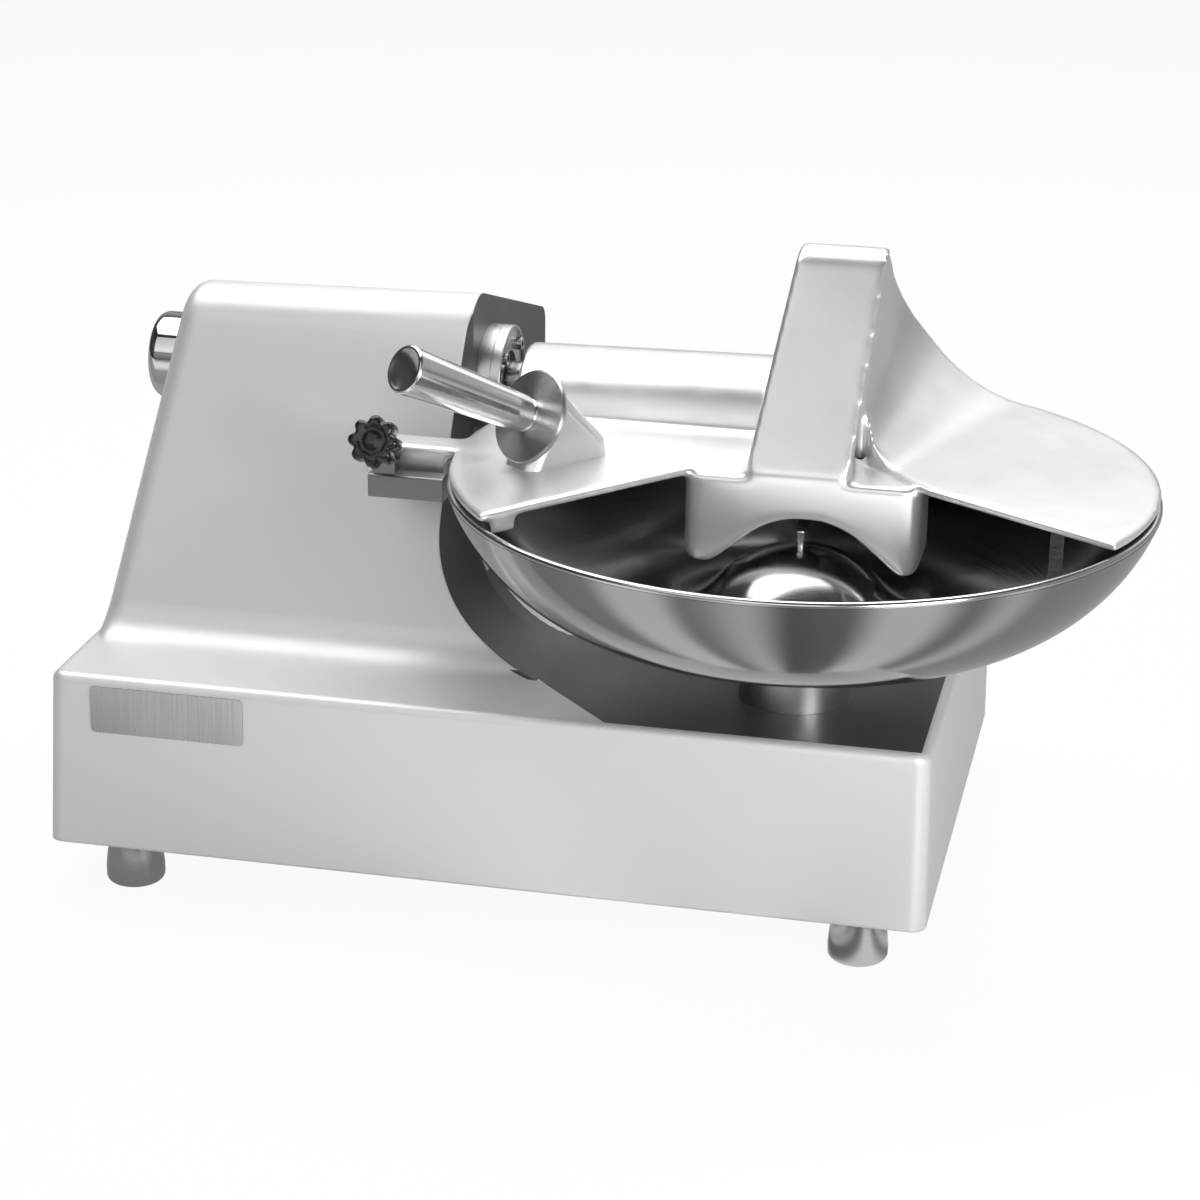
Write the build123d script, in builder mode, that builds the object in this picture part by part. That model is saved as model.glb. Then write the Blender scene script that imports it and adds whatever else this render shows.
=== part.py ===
"""Table-top meat bowl cutter of the 8 litre class.

Units are millimetres, +Z is up, and the machine's front faces -Y.  The origin lies on the
table, under the middle of the machine's overall footprint.  A motor in the sloped housing
turns the knife shaft through a belt, and a second belt with a worm gear turns the bowl.
The cover casting hinges up at the back, and a clamp screw with a star knob holds it shut.
"""
from build123d import *
from math import atan2, cos, degrees, hypot, pi, radians, sin, sqrt
import os

os.makedirs("parts", exist_ok=True)

# ---------------------------------------------------------------- driving dimensions
base_length = 560.0
base_depth = 376.0
base_height = 116.5
left_flare = 6.0
right_flare = 2.0
foot_height = 34.7
wall = 5.0

bowl_from_base_x = 185.0
bowl_from_base_y = -106.0
rim_radius = 218.0
rim_above_base = 138.7
bowl_sheet = 2.5

plate_gap = 3.3
plate_thickness = 6.0
knife_radius = 93.0
shaft_from_base_y = 6.0
shaft_above_base = 158.0

button_above_foot = 66.0
button_proud = 6.0
gland_reach = 16.0

# ---------------------------------------------------------------- places that follow
end_lean = left_flare / base_height
button_wall = base_length / 2 + end_lean * (base_height - button_above_foot)
overall_left = button_wall + button_proud
overall_right = bowl_from_base_x + rim_radius
overall_front = rim_radius - bowl_from_base_y
overall_back = base_depth / 2 + gland_reach
base_x = (overall_left - overall_right) / 2
base_y = (overall_front - overall_back) / 2

base_bottom = foot_height
base_top = foot_height + base_height
base_left = base_x - base_length / 2
base_front = base_y - base_depth / 2
base_back = base_y + base_depth / 2
shaft_z = base_top + shaft_above_base

bowl_x = base_x + bowl_from_base_x
bowl_y = base_y + bowl_from_base_y
bowl_axis = Axis((bowl_x, bowl_y, 0), (0, 0, 1))
bowl_plane = Plane(origin=(bowl_x, bowl_y, 0), x_dir=(1, 0, 0), z_dir=(0, -1, 0))
rim_z = base_top + rim_above_base

plate_bottom = rim_z + plate_gap
plate_top = plate_bottom + plate_thickness
shaft_y = base_y + shaft_from_base_y


# ---------------------------------------------------------------- small helpers
def bar_x(start, end, radius, y, z, mode=Mode.ADD):
    """Round bar along X between two X positions."""
    with BuildSketch(Plane.YZ.offset(start)) as face:
        with Locations((y, z)):
            Circle(radius)
    extrude(face.sketch, amount=end - start, mode=mode)


def bar_y(start, end, radius, x, z, mode=Mode.ADD):
    """Round bar along Y between two Y positions."""
    with BuildSketch(Plane.XZ.offset(-end)) as face:
        with Locations((x, z)):
            Circle(radius)
    extrude(face.sketch, amount=end - start, mode=mode)


def bar_z(start, end, radius, x, y, mode=Mode.ADD):
    """Round bar along Z between two heights."""
    with BuildSketch(Plane.XY.offset(start)) as face:
        with Locations((x, y)):
            Circle(radius)
    extrude(face.sketch, amount=end - start, mode=mode)


def block(x_range, y_range, z_range, mode=Mode.ADD):
    """Square block between two corners."""
    with BuildSketch(Plane.XY.offset(z_range[0])) as face:
        with Locations(((x_range[0] + x_range[1]) / 2, (y_range[0] + y_range[1]) / 2)):
            Rectangle(x_range[1] - x_range[0], y_range[1] - y_range[0])
    extrude(face.sketch, amount=z_range[1] - z_range[0], mode=mode)


def finish(builder, name):
    """Label a finished piece and write it."""
    builder.part.label = name
    export_step(builder.part, "parts/" + name + ".step")


# ---------------------------------------------------------------- housing, leaning back
housing_foot_y = base_y - 110
crown_y = base_y - 34.5
crown_z = base_top + 227
housing_drop = 5.0
housing_lean = (crown_y - housing_foot_y) / (crown_z - base_top)
back_y = base_y + 167.5
back_z = base_top + 165
housing_left_x = base_left + 3.5
left_lean = 0.187
housing_end_x = base_x - 42
end_wall = 16.0
flare_radius = 80.0
scoop_radius = 238.0
scoop_fillet = 85.0


def housing_outline(drop):
    """Side outline of the housing, with the hollow fillet at its foot."""
    front = Vector(0, crown_y - housing_foot_y, crown_z - base_top).normalized()
    top = Vector(0, back_y - crown_y, back_z - crown_z).normalized()
    slide = drop / (front.Z - top.Z * front.Y / top.Y)
    low_crown = (crown_y - slide * front.Y, crown_z - slide * front.Z)
    low_back = low_crown[1] + (back_y - low_crown[0]) * top.Z / top.Y
    with BuildLine() as outline:
        FilletPolyline(
            (housing_foot_y - 40, base_top - 14),
            (housing_foot_y - 40, base_top),
            (housing_foot_y, base_top),
            low_crown,
            (back_y, low_back),
            (back_y, base_top - 14),
            radius=(0, 0, 30, 30, 14, 0),
            close=True,
        )
    make_face(outline.edges())


def housing_block(inset, right_end):
    """The housing's outside, or with an inset its inside."""
    with BuildPart() as made:
        for x, drop in ((base_left - 20, housing_drop), (housing_end_x, 0)):
            with BuildSketch(Plane.YZ.offset(x)):
                housing_outline(drop)
                if inset:
                    offset(amount=-inset, kind=Kind.INTERSECTION)
        loft(ruled=True)
        split(bisect_by=Plane(origin=(right_end, 0, 0), z_dir=(-1, 0, 0)))
        left_side = Plane(origin=(housing_left_x + inset, 0, base_top), z_dir=(1, 0, -left_lean))
        split(bisect_by=left_side)
        if not inset:
            rim_edges = made.faces().sort_by(Axis.X)[0].edges()
            fillet([e for e in rim_edges if e.center().Z > base_top + 12], radius=14)
    return made.part


# The flare carries the end face down into the base top under the bowl.
with BuildPart() as flare:
    with BuildSketch(Plane.XZ):
        with BuildLine():
            Line((housing_end_x - 4, base_top - 4), (housing_end_x - 4, base_top + flare_radius))
            Line((housing_end_x - 4, base_top + flare_radius),
                 (housing_end_x, base_top + flare_radius))
            CenterArc((housing_end_x + flare_radius, base_top + flare_radius),
                      flare_radius, 180, 90)
            Line((housing_end_x + flare_radius, base_top),
                 (housing_end_x + flare_radius, base_top - 4))
            Line((housing_end_x + flare_radius, base_top - 4), (housing_end_x - 4, base_top - 4))
        make_face()
    extrude(amount=base_depth, both=True)
    with BuildSketch(Plane.YZ.offset(housing_end_x - 4)):
        housing_outline(0)
    extrude(amount=flare_radius + 4, mode=Mode.INTERSECT)

# ---------------------------------------------------------------- body shell
hub_cap_radius = 29.0
hub_seat_radius = 36.0
hub_seat_inner = base_x - 224
bearing_spigot_radius = 30.0
spindle_spigot_radius = 30.0
post_radius = 8.0
post_places = [
    (base_x + sx * (base_length / 2 - 14), base_y + sy * (base_depth / 2 - 16))
    for sx in (-1, 0, 1) for sy in (-1, 1)
]
button_apart = 40.0
switch_y = base_y - 76
button_z = base_bottom + button_above_foot
switch_plane = Plane(origin=(base_x - button_wall, switch_y, button_z), x_dir=(0, 1, 0),
                     z_dir=(-1, 0, end_lean))
button_hole_radius = 11.0
gland_x = base_x - 120
gland_z = base_bottom + 34



def base_prism(inset, height, mode=Mode.ADD):
    """Base box whose two ends flare towards the table."""
    top_half = base_length / 2 - inset
    left_low, right_low = top_half + left_flare, top_half + right_flare
    rise = height / base_height
    with BuildSketch(Plane.XZ.offset(-(base_y + base_depth / 2 - inset))) as face:
        with BuildLine():
            Polyline((base_x - left_low, base_bottom), (base_x + right_low, base_bottom),
                     (base_x + right_low - right_flare * rise, base_bottom + height),
                     (base_x - left_low + left_flare * rise, base_bottom + height),
                     close=True)
        make_face()
    extrude(face.sketch, amount=base_depth - 2 * inset, mode=mode)


housing_outside = housing_block(0, housing_end_x)
housing_inside = housing_block(wall, housing_end_x - end_wall)

with BuildPart() as hub_seat:
    bar_x(base_left - 10, hub_seat_inner, hub_seat_radius, shaft_y, shaft_z)
    add(housing_outside, mode=Mode.INTERSECT)

with BuildPart() as body_shell:
    base_prism(0, base_height)
    upright = [e for e in body_shell.edges() if abs(e.tangent_at(0.5).Z) > 0.9]
    fillet(upright, radius=10)
    fillet(body_shell.faces().sort_by(Axis.Z)[-1].edges(), radius=6)
    add(housing_outside)
    add(flare.part)
    with BuildSketch(bowl_plane):
        with BuildLine():
            Line((0, base_top), (scoop_radius - scoop_fillet, base_top))
            CenterArc((scoop_radius - scoop_fillet, base_top + scoop_fillet),
                      scoop_fillet, -90, 90)
            Line((scoop_radius, base_top + scoop_fillet), (scoop_radius, crown_z + 20))
            Line((scoop_radius, crown_z + 20), (0, crown_z + 20))
            Line((0, crown_z + 20), (0, base_top))
        make_face()
    revolve(axis=bowl_axis, mode=Mode.SUBTRACT)
    base_prism(wall, base_height - wall, Mode.SUBTRACT)
    add(housing_inside, mode=Mode.SUBTRACT)
    for place in post_places:
        bar_z(base_bottom + 4, base_top - wall, post_radius, *place)
    add(hub_seat.part)
    bar_x(base_left - 10, hub_seat_inner + 1, hub_cap_radius, shaft_y, shaft_z, Mode.SUBTRACT)
    bar_x(base_x - 70, base_x, bearing_spigot_radius, shaft_y, shaft_z, Mode.SUBTRACT)
    bar_z(base_top - 20, base_top + 1, spindle_spigot_radius, bowl_x, bowl_y, Mode.SUBTRACT)
    with BuildSketch(switch_plane) as button_holes:
        with Locations((-button_apart / 2, 0), (button_apart / 2, 0)):
            Circle(button_hole_radius)
    extrude(button_holes.sketch, amount=wall + 2, both=True, mode=Mode.SUBTRACT)
    bar_y(base_back - 10, base_back + 1, 8, gland_x, gland_z, Mode.SUBTRACT)
    for place in post_places:
        bar_z(base_bottom, base_bottom + 16, 2.5, *place, mode=Mode.SUBTRACT)
finish(body_shell, "body_shell")

# ---------------------------------------------------------------- underside
plate_sheet = 4.0
with BuildPart() as bottom_plate:
    with BuildSketch(Plane.XY.offset(base_bottom)):
        with Locations((base_x + (right_flare - left_flare) / 2, base_y)):
            RectangleRounded(base_length + left_flare + right_flare - 2 * wall - 2,
                             base_depth - 2 * wall - 1, 3)
        with Locations(*post_places):
            Circle(2.5, mode=Mode.SUBTRACT)
    extrude(amount=plate_sheet)
finish(bottom_plate, "bottom_plate")

with BuildPart() as bottom_screws:
    for place in post_places:
        bar_z(base_bottom, base_bottom + 14, 2.5, *place)
        bar_z(base_bottom - 3, base_bottom, 4.5, *place)
finish(bottom_screws, "bottom_screws")

foot_places = [(base_x + sx * 238, base_y + sy * 158) for sx in (-1, 1) for sy in (-1, 1)]
foot_radius = 19.0
foot_neck = 14.5


def foot(x, y):
    """One domed foot, turned from solid."""
    plane = Plane(origin=(x, y, 0), x_dir=(1, 0, 0), z_dir=(0, -1, 0))
    with BuildSketch(plane) as section:
        with BuildLine():
            Line((0, 0), (foot_radius - 1.5, 0))
            Line((foot_radius - 1.5, 0), (foot_radius, 1.5))
            Line((foot_radius, 1.5), (foot_radius, 7))
            ThreePointArc((foot_radius, 7), (foot_radius - 1.4, 22), (foot_neck, foot_height))
            Line((foot_neck, foot_height), (0, foot_height))
            Line((0, foot_height), (0, 0))
        make_face()
    revolve(section.sketch, axis=Axis((x, y, 0), (0, 0, 1)))


with BuildPart() as feet:
    for place in foot_places:
        foot(*place)
finish(feet, "feet")

# ---------------------------------------------------------------- blank plate on the front
name_plate_width = 101.0
name_plate_height = 31.0
name_plate_sheet = 1.0
with BuildPart() as name_plate:
    with BuildSketch(Plane.XZ.offset(-base_front)):
        with Locations((base_x - 202, base_bottom + 95)):
            RectangleRounded(name_plate_width, name_plate_height, 3)
    extrude(amount=name_plate_sheet)
finish(name_plate, "name_plate")

# ---------------------------------------------------------------- knife shaft bearings
hub_cap_end = base_x - 270
rear_bearing_radius = 21.0
shaft_small_radius = 10.0
shaft_radius = 12.5
running_gap = 0.05

with BuildPart() as bearing_cap_left:
    bar_x(hub_cap_end, base_x - 228, hub_cap_radius, shaft_y, shaft_z)
    fillet(bearing_cap_left.faces().sort_by(Axis.X)[0].edges(), radius=3)
    bar_x(base_x - 244, base_x - 227, rear_bearing_radius, shaft_y, shaft_z, Mode.SUBTRACT)
    bar_x(hub_cap_end, hub_cap_end + 3, 16, shaft_y, shaft_z, Mode.SUBTRACT)
finish(bearing_cap_left, "bearing_cap_left")

with BuildPart() as rear_bearing:
    bar_x(base_x - 244, base_x - 231, rear_bearing_radius, shaft_y, shaft_z)
    bar_x(base_x - 244, base_x - 231, shaft_small_radius + running_gap, shaft_y, shaft_z,
          Mode.SUBTRACT)
finish(rear_bearing, "rear_bearing")

bearing_flange_radius = 36.0
front_bearing_radius = 26.0
flange_face = base_x - 33
retainer_face = base_x - 28
seal_radius = 19.0
with BuildPart() as bearing_housing:
    bar_x(housing_end_x, flange_face, bearing_flange_radius, shaft_y, shaft_z)
    bar_x(base_x - 62, housing_end_x, bearing_spigot_radius, shaft_y, shaft_z)
    bar_x(base_x - 52, flange_face, front_bearing_radius, shaft_y, shaft_z, Mode.SUBTRACT)
    bar_x(base_x - 63, flange_face, 16, shaft_y, shaft_z, Mode.SUBTRACT)
finish(bearing_housing, "bearing_housing")

with BuildPart() as front_bearing:
    bar_x(base_x - 52, base_x - 37, front_bearing_radius, shaft_y, shaft_z)
    bar_x(base_x - 52, base_x - 37, shaft_radius + running_gap, shaft_y, shaft_z, Mode.SUBTRACT)
finish(front_bearing, "front_bearing")

with BuildPart() as bearing_retainer:
    bar_x(flange_face, retainer_face, bearing_flange_radius, shaft_y, shaft_z)
    with BuildSketch(Plane.YZ.offset(retainer_face)):
        with Locations((shaft_y, shaft_z)):
            Circle(bearing_flange_radius)
            Circle(bearing_flange_radius - 1.6, mode=Mode.SUBTRACT)
    extrude(amount=2)
    bar_x(flange_face, retainer_face, seal_radius, shaft_y, shaft_z, Mode.SUBTRACT)
    fillet(bearing_retainer.edges().filter_by(GeomType.CIRCLE).sort_by(Axis.X)[-2:], radius=0.7)
finish(bearing_retainer, "bearing_retainer")

with BuildPart() as shaft_seal:
    bar_x(flange_face, retainer_face, seal_radius, shaft_y, shaft_z)
    bar_x(flange_face, retainer_face, shaft_radius + running_gap, shaft_y, shaft_z,
          Mode.SUBTRACT)
finish(shaft_seal, "shaft_seal")

with BuildPart() as bearing_screws:
    with BuildSketch(Plane.YZ.offset(retainer_face)):
        with Locations((shaft_y, shaft_z)):
            with PolarLocations(27.5, 4, start_angle=45):
                Circle(4.2)
                RegularPolygon(2.2, 6, mode=Mode.SUBTRACT)
    extrude(amount=4)
    with BuildSketch(Plane.YZ.offset(retainer_face)):
        with Locations((shaft_y, shaft_z)):
            with PolarLocations(27.5, 4, start_angle=45):
                Circle(4.2)
    extrude(amount=1)
finish(bearing_screws, "bearing_screws")

# ---------------------------------------------------------------- knife shaft and knives
shaft_left = base_x - 243
shaft_step = base_x - 165
shaft_collar_x = base_x + 160
shaft_end = base_x + 209
knife_sheet = 4.0
knife_seat_radius = 10.0
first_knife_x = base_x + 177
second_knife_x = base_x + 191

with BuildPart() as knife_shaft:
    bar_x(shaft_left, shaft_step, shaft_small_radius, shaft_y, shaft_z)
    bar_x(shaft_step, shaft_collar_x, shaft_radius, shaft_y, shaft_z)
    bar_x(shaft_collar_x, shaft_end, knife_seat_radius, shaft_y, shaft_z)
    chamfer(knife_shaft.edges().filter_by(GeomType.CIRCLE).sort_by(Axis.X)[-1], length=1)
finish(knife_shaft, "knife_shaft")


def knife(plane):
    """Sickle knife: round back, cutting edge that sweeps away from the turning side."""
    with BuildSketch(plane) as blade:
        with BuildLine():
            tip = (70, sqrt(knife_radius**2 - 70**2))
            ThreePointArc((-20, 10), (18, 62), tip)
            ThreePointArc((24, -6), (62, 14), tip)
            Line((-20, 10), (-20, -6))
            Line((-20, -6), (24, -6))
        make_face()
        Circle(24)
        Circle(knife_seat_radius, mode=Mode.SUBTRACT)
    extrude(blade.sketch, amount=knife_sheet)


with BuildPart() as front_knife:
    knife(Plane(origin=(second_knife_x, shaft_y, shaft_z), x_dir=(0, 1, 0), z_dir=(1, 0, 0)))
finish(front_knife, "front_knife")

with BuildPart() as back_knife:
    knife(Plane(origin=(first_knife_x, shaft_y, shaft_z), x_dir=(0, -1, 0), z_dir=(1, 0, 0)))
finish(back_knife, "back_knife")

with BuildPart() as knife_collars:
    for start, end, radius in (
        (shaft_collar_x, first_knife_x, 19),
        (first_knife_x + knife_sheet, second_knife_x, 19),
        (second_knife_x + knife_sheet, second_knife_x + knife_sheet + 3, 17),
    ):
        bar_x(start, end, radius, shaft_y, shaft_z)
        bar_x(start, end, knife_seat_radius, shaft_y, shaft_z, Mode.SUBTRACT)
finish(knife_collars, "knife_collars")

knife_nut_x = second_knife_x + knife_sheet + 3
with BuildPart() as knife_nut:
    with BuildSketch(Plane.YZ.offset(knife_nut_x)):
        with Locations((shaft_y, shaft_z)):
            RegularPolygon(16, 6)
            Circle(knife_seat_radius, mode=Mode.SUBTRACT)
    extrude(amount=9)
finish(knife_nut, "knife_nut")

# ---------------------------------------------------------------- motor, belts and pulleys
motor_y = base_y + 75
motor_z = base_bottom + 70
motor_radius = 62.0
motor_left = base_x - 180
motor_right = base_x - 92
rotor_radius = 9.5
pulley_radius = 36.0
belt_depth = 7.0
belt_width = 9.0
knife_belt_x = base_x - 202
worm_belt_x = base_x - 224
worm_pulley_radius = 30.0
worm_y = bowl_y + 58
worm_z = base_bottom + 52


def pulley(centre_x, radius, bore, y, z, width=14.0):
    """V pulley: two flanges, a groove for the belt, and a bore."""
    plane = Plane(origin=(centre_x, y, z), x_dir=(1, 0, 0), z_dir=(0, -1, 0))
    half = width / 2
    groove_floor = radius - belt_depth - 2
    with BuildSketch(plane) as section:
        with BuildLine():
            Polyline((-half, bore), (-half, radius), (-half + 1.6, radius), (-3, groove_floor),
                     (3, groove_floor), (half - 1.6, radius), (half, radius), (half, bore),
                     close=True)
        make_face()
    revolve(section.sketch, axis=Axis((0, y, z), (1, 0, 0)))


def belt(centre_x, radius, first, second):
    """V belt round two equal pulleys, with the groove's taper."""
    middle = ((first[0] + second[0]) / 2, (first[1] + second[1]) / 2)
    span = hypot(second[0] - first[0], second[1] - first[1])
    slope = degrees(atan2(second[1] - first[1], second[0] - first[0]))
    outside = radius - 0.6
    inside = radius - belt_depth
    with BuildSketch(Plane.YZ.offset(centre_x - 3)) as loop:
        with Locations(middle):
            SlotCenterToCenter(span, 2 * outside, rotation=slope)
            SlotCenterToCenter(span, 2 * inside, rotation=slope, mode=Mode.SUBTRACT)
    extrude(loop.sketch, amount=6)


with BuildPart() as motor_casing:
    bar_x(motor_left, motor_right, motor_radius - 5, motor_y, motor_z)
    for rib in range(9):
        rib_x = motor_left + 4 + rib * 9.6
        bar_x(rib_x, rib_x + 3, motor_radius, motor_y, motor_z)
    bar_x(motor_left - 6, motor_left, 26, motor_y, motor_z)
    bar_x(motor_left - 7, motor_right + 1, rotor_radius + 0.5, motor_y, motor_z, Mode.SUBTRACT)
    bar_x(motor_left + 8, motor_right - 8, 34, motor_y, motor_z, Mode.SUBTRACT)
finish(motor_casing, "motor_casing")

with BuildPart() as motor_cradle:
    for x in (motor_left + 10, motor_right - 26):
        block((x, x + 16), (motor_y - 50, motor_y + 50),
              (base_bottom + plate_sheet, motor_z - 20))
    bar_x(motor_left - 10, motor_right + 10, motor_radius, motor_y, motor_z, Mode.SUBTRACT)
finish(motor_cradle, "motor_cradle")

with BuildPart() as fan_cover:
    bar_x(motor_right, motor_right + 26, motor_radius - 4, motor_y, motor_z)
    bar_x(motor_right, motor_right + 23, motor_radius - 6, motor_y, motor_z, Mode.SUBTRACT)
    with BuildSketch(Plane.YZ.offset(motor_right + 22)):
        with Locations((motor_y, motor_z)):
            with PolarLocations(34, 12):
                SlotOverall(26, 5)
    extrude(amount=6, mode=Mode.SUBTRACT)
finish(fan_cover, "fan_cover")

with BuildPart() as motor_fan:
    bar_x(motor_right + 6, motor_right + 18, 16, motor_y, motor_z)
    with BuildSketch(Plane.YZ.offset(motor_right + 6)):
        with Locations((motor_y, motor_z)):
            with PolarLocations(31, 8):
                Rectangle(34, 3)
    extrude(amount=12)
    bar_x(motor_right + 6, motor_right + 18, rotor_radius, motor_y, motor_z, Mode.SUBTRACT)
finish(motor_fan, "motor_fan")

with BuildPart() as rotor_shaft:
    bar_x(base_x - 234, motor_right + 19, rotor_radius, motor_y, motor_z)
    bar_x(motor_left + 12, motor_right - 12, 32, motor_y, motor_z)
finish(rotor_shaft, "rotor_shaft")

with BuildPart() as motor_pulleys:
    pulley(knife_belt_x, pulley_radius, rotor_radius, motor_y, motor_z)
    pulley(worm_belt_x, worm_pulley_radius, rotor_radius, motor_y, motor_z)
finish(motor_pulleys, "motor_pulleys")

with BuildPart() as shaft_pulley:
    pulley(knife_belt_x, pulley_radius, shaft_small_radius, shaft_y, shaft_z)
finish(shaft_pulley, "shaft_pulley")

with BuildPart() as knife_belt:
    belt(knife_belt_x, pulley_radius, (motor_y, motor_z), (shaft_y, shaft_z))
finish(knife_belt, "knife_belt")

with BuildPart() as worm_belt:
    belt(worm_belt_x, worm_pulley_radius, (worm_y, worm_z), (motor_y, motor_z))
finish(worm_belt, "worm_belt")

# ---------------------------------------------------------------- worm gear under the bowl
worm_shaft_radius = 8.0
worm_crest = 13.0
wheel_teeth = 60
wheel_module = 1.5
wheel_pitch_radius = wheel_teeth * wheel_module / 2
wheel_tip = worm_y - bowl_y - worm_crest - 0.4
wheel_root = wheel_tip - 2.25 * wheel_module
wheel_z = (worm_z - 8, worm_z + 8)
worm_pitch = pi * wheel_module
worm_turns = 7
worm_left = base_x - 234
worm_right = bowl_x + 62
spindle_radius = 10.0

with BuildPart() as worm_shaft:
    bar_x(worm_left, worm_right, worm_shaft_radius, worm_y, worm_z)
    for turn in range(worm_turns):
        crest_x = bowl_x + (turn - worm_turns / 2) * worm_pitch
        bar_x(crest_x, crest_x + worm_pitch * 0.45, worm_crest, worm_y, worm_z)
    bar_x(bowl_x - worm_turns * worm_pitch / 2 - 4, bowl_x + worm_turns * worm_pitch / 2 + 4,
          worm_crest - 2.2 * wheel_module, worm_y, worm_z)
finish(worm_shaft, "worm_shaft")

with BuildPart() as worm_pulley:
    pulley(worm_belt_x, worm_pulley_radius, worm_shaft_radius, worm_y, worm_z)
finish(worm_pulley, "worm_pulley")

case_radius = 54.0
case_cavity = wheel_tip + 1.5
case_bottom = wheel_z[0] - 14
case_top = wheel_z[1] + 10
worm_bearing_radius = 15.0

with BuildPart() as gearbox_case:
    bar_z(case_bottom, case_top, case_radius, bowl_x, bowl_y)
    block((bowl_x - 48, bowl_x + 48), (bowl_y, worm_y + 22), (worm_z - 20, worm_z + 18))
    bar_z(case_top - 2, base_top - wall, 44, bowl_x, bowl_y)
    bar_z(wheel_z[0] - 2, wheel_z[1] + 2, case_cavity, bowl_x, bowl_y, Mode.SUBTRACT)
    bar_x(bowl_x - 36, bowl_x + 36, worm_crest + 1.5, worm_y, worm_z, Mode.SUBTRACT)
    bar_x(bowl_x - 49, bowl_x - 36, worm_bearing_radius, worm_y, worm_z, Mode.SUBTRACT)
    bar_x(bowl_x + 36, bowl_x + 49, worm_bearing_radius, worm_y, worm_z, Mode.SUBTRACT)
    bar_z(case_bottom + 4, base_top, spindle_radius + 1, bowl_x, bowl_y, Mode.SUBTRACT)
    bar_z(base_top - 34, base_top, spindle_spigot_radius, bowl_x, bowl_y, Mode.SUBTRACT)
finish(gearbox_case, "gearbox_case")

with BuildPart() as worm_bearings:
    for start in (bowl_x - 47, bowl_x + 36):
        bar_x(start, start + 11, worm_bearing_radius, worm_y, worm_z)
        bar_x(start, start + 11, worm_shaft_radius + running_gap, worm_y, worm_z, Mode.SUBTRACT)
finish(worm_bearings, "worm_bearings")

with BuildPart() as worm_wheel:
    with BuildSketch(Plane.XY.offset(wheel_z[0])):
        with Locations((bowl_x, bowl_y)):
            Circle(wheel_root)
            with PolarLocations((wheel_root + wheel_tip) / 2 - 0.5, wheel_teeth, start_angle=3):
                Trapezoid(2.6, wheel_tip - wheel_root + 1, 81, rotation=-90)
            Circle(spindle_radius, mode=Mode.SUBTRACT)
            with PolarLocations(27, 6):
                Circle(7, mode=Mode.SUBTRACT)
    extrude(amount=wheel_z[1] - wheel_z[0])
finish(worm_wheel, "worm_wheel")

boss_radius = 35.5
boss_top = base_top + 42
spindle_bearing_radius = 21.0
with BuildPart() as spindle_boss:
    bar_z(base_top, boss_top, boss_radius, bowl_x, bowl_y)
    fillet(spindle_boss.faces().sort_by(Axis.Z)[-1].edges(), radius=2)
    bar_z(base_top - 32, base_top, spindle_spigot_radius, bowl_x, bowl_y)
    bar_z(base_top - 33, boss_top + 1, spindle_radius + 3, bowl_x, bowl_y, Mode.SUBTRACT)
    bar_z(base_top - 33, base_top - 20, spindle_bearing_radius, bowl_x, bowl_y, Mode.SUBTRACT)
    bar_z(boss_top - 14, boss_top + 1, spindle_bearing_radius, bowl_x, bowl_y, Mode.SUBTRACT)
finish(spindle_boss, "spindle_boss")

with BuildPart() as spindle_bearings:
    for start in (base_top - 32, boss_top - 14):
        bar_z(start, start + 12, spindle_bearing_radius, bowl_x, bowl_y)
        bar_z(start, start + 12, spindle_radius + running_gap, bowl_x, bowl_y, Mode.SUBTRACT)
finish(spindle_bearings, "spindle_bearings")

# ---------------------------------------------------------------- the bowl
cap_centre = (0, rim_z - 110.7)
cap_radius = 70.0
wall_centre = (100.0, rim_z + 39.3)
wall_radius = 122.5
floor_radius = 60.0
rim_bead = 2.4


def floor_arc_centre():
    """Centre of the floor arc that is tangent to the hub's dome and to the outer wall's arc."""
    to_cap = cap_radius + floor_radius
    to_wall = wall_radius - floor_radius
    dx, dz = wall_centre[0] - cap_centre[0], wall_centre[1] - cap_centre[1]
    apart = hypot(dx, dz)
    along = (to_cap**2 - to_wall**2 + apart**2) / (2 * apart)
    aside = sqrt(to_cap**2 - along**2)
    ux, uz = dx / apart, dz / apart
    return (cap_centre[0] + along * ux + aside * uz, cap_centre[1] + along * uz - aside * ux)


floor_centre = floor_arc_centre()


def towards(start, target, distance):
    """Point at a distance from start on the line to target."""
    span = hypot(target[0] - start[0], target[1] - start[1])
    return (start[0] + (target[0] - start[0]) * distance / span,
            start[1] + (target[1] - start[1]) * distance / span)


def bowl_curve(sheet):
    """Radii and joints of the bowl's section, inside (sheet 0) or outside (sheet thickness)."""
    apex = (0, cap_centre[1] + cap_radius - sheet)
    dome_end = towards(cap_centre, floor_centre, cap_radius - sheet)
    wall_start = towards(wall_centre, floor_centre, wall_radius + sheet)
    rim = (wall_centre[0] + sqrt((wall_radius + sheet)**2 - (rim_z - wall_centre[1])**2), rim_z)
    return apex, dome_end, wall_start, rim


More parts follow.
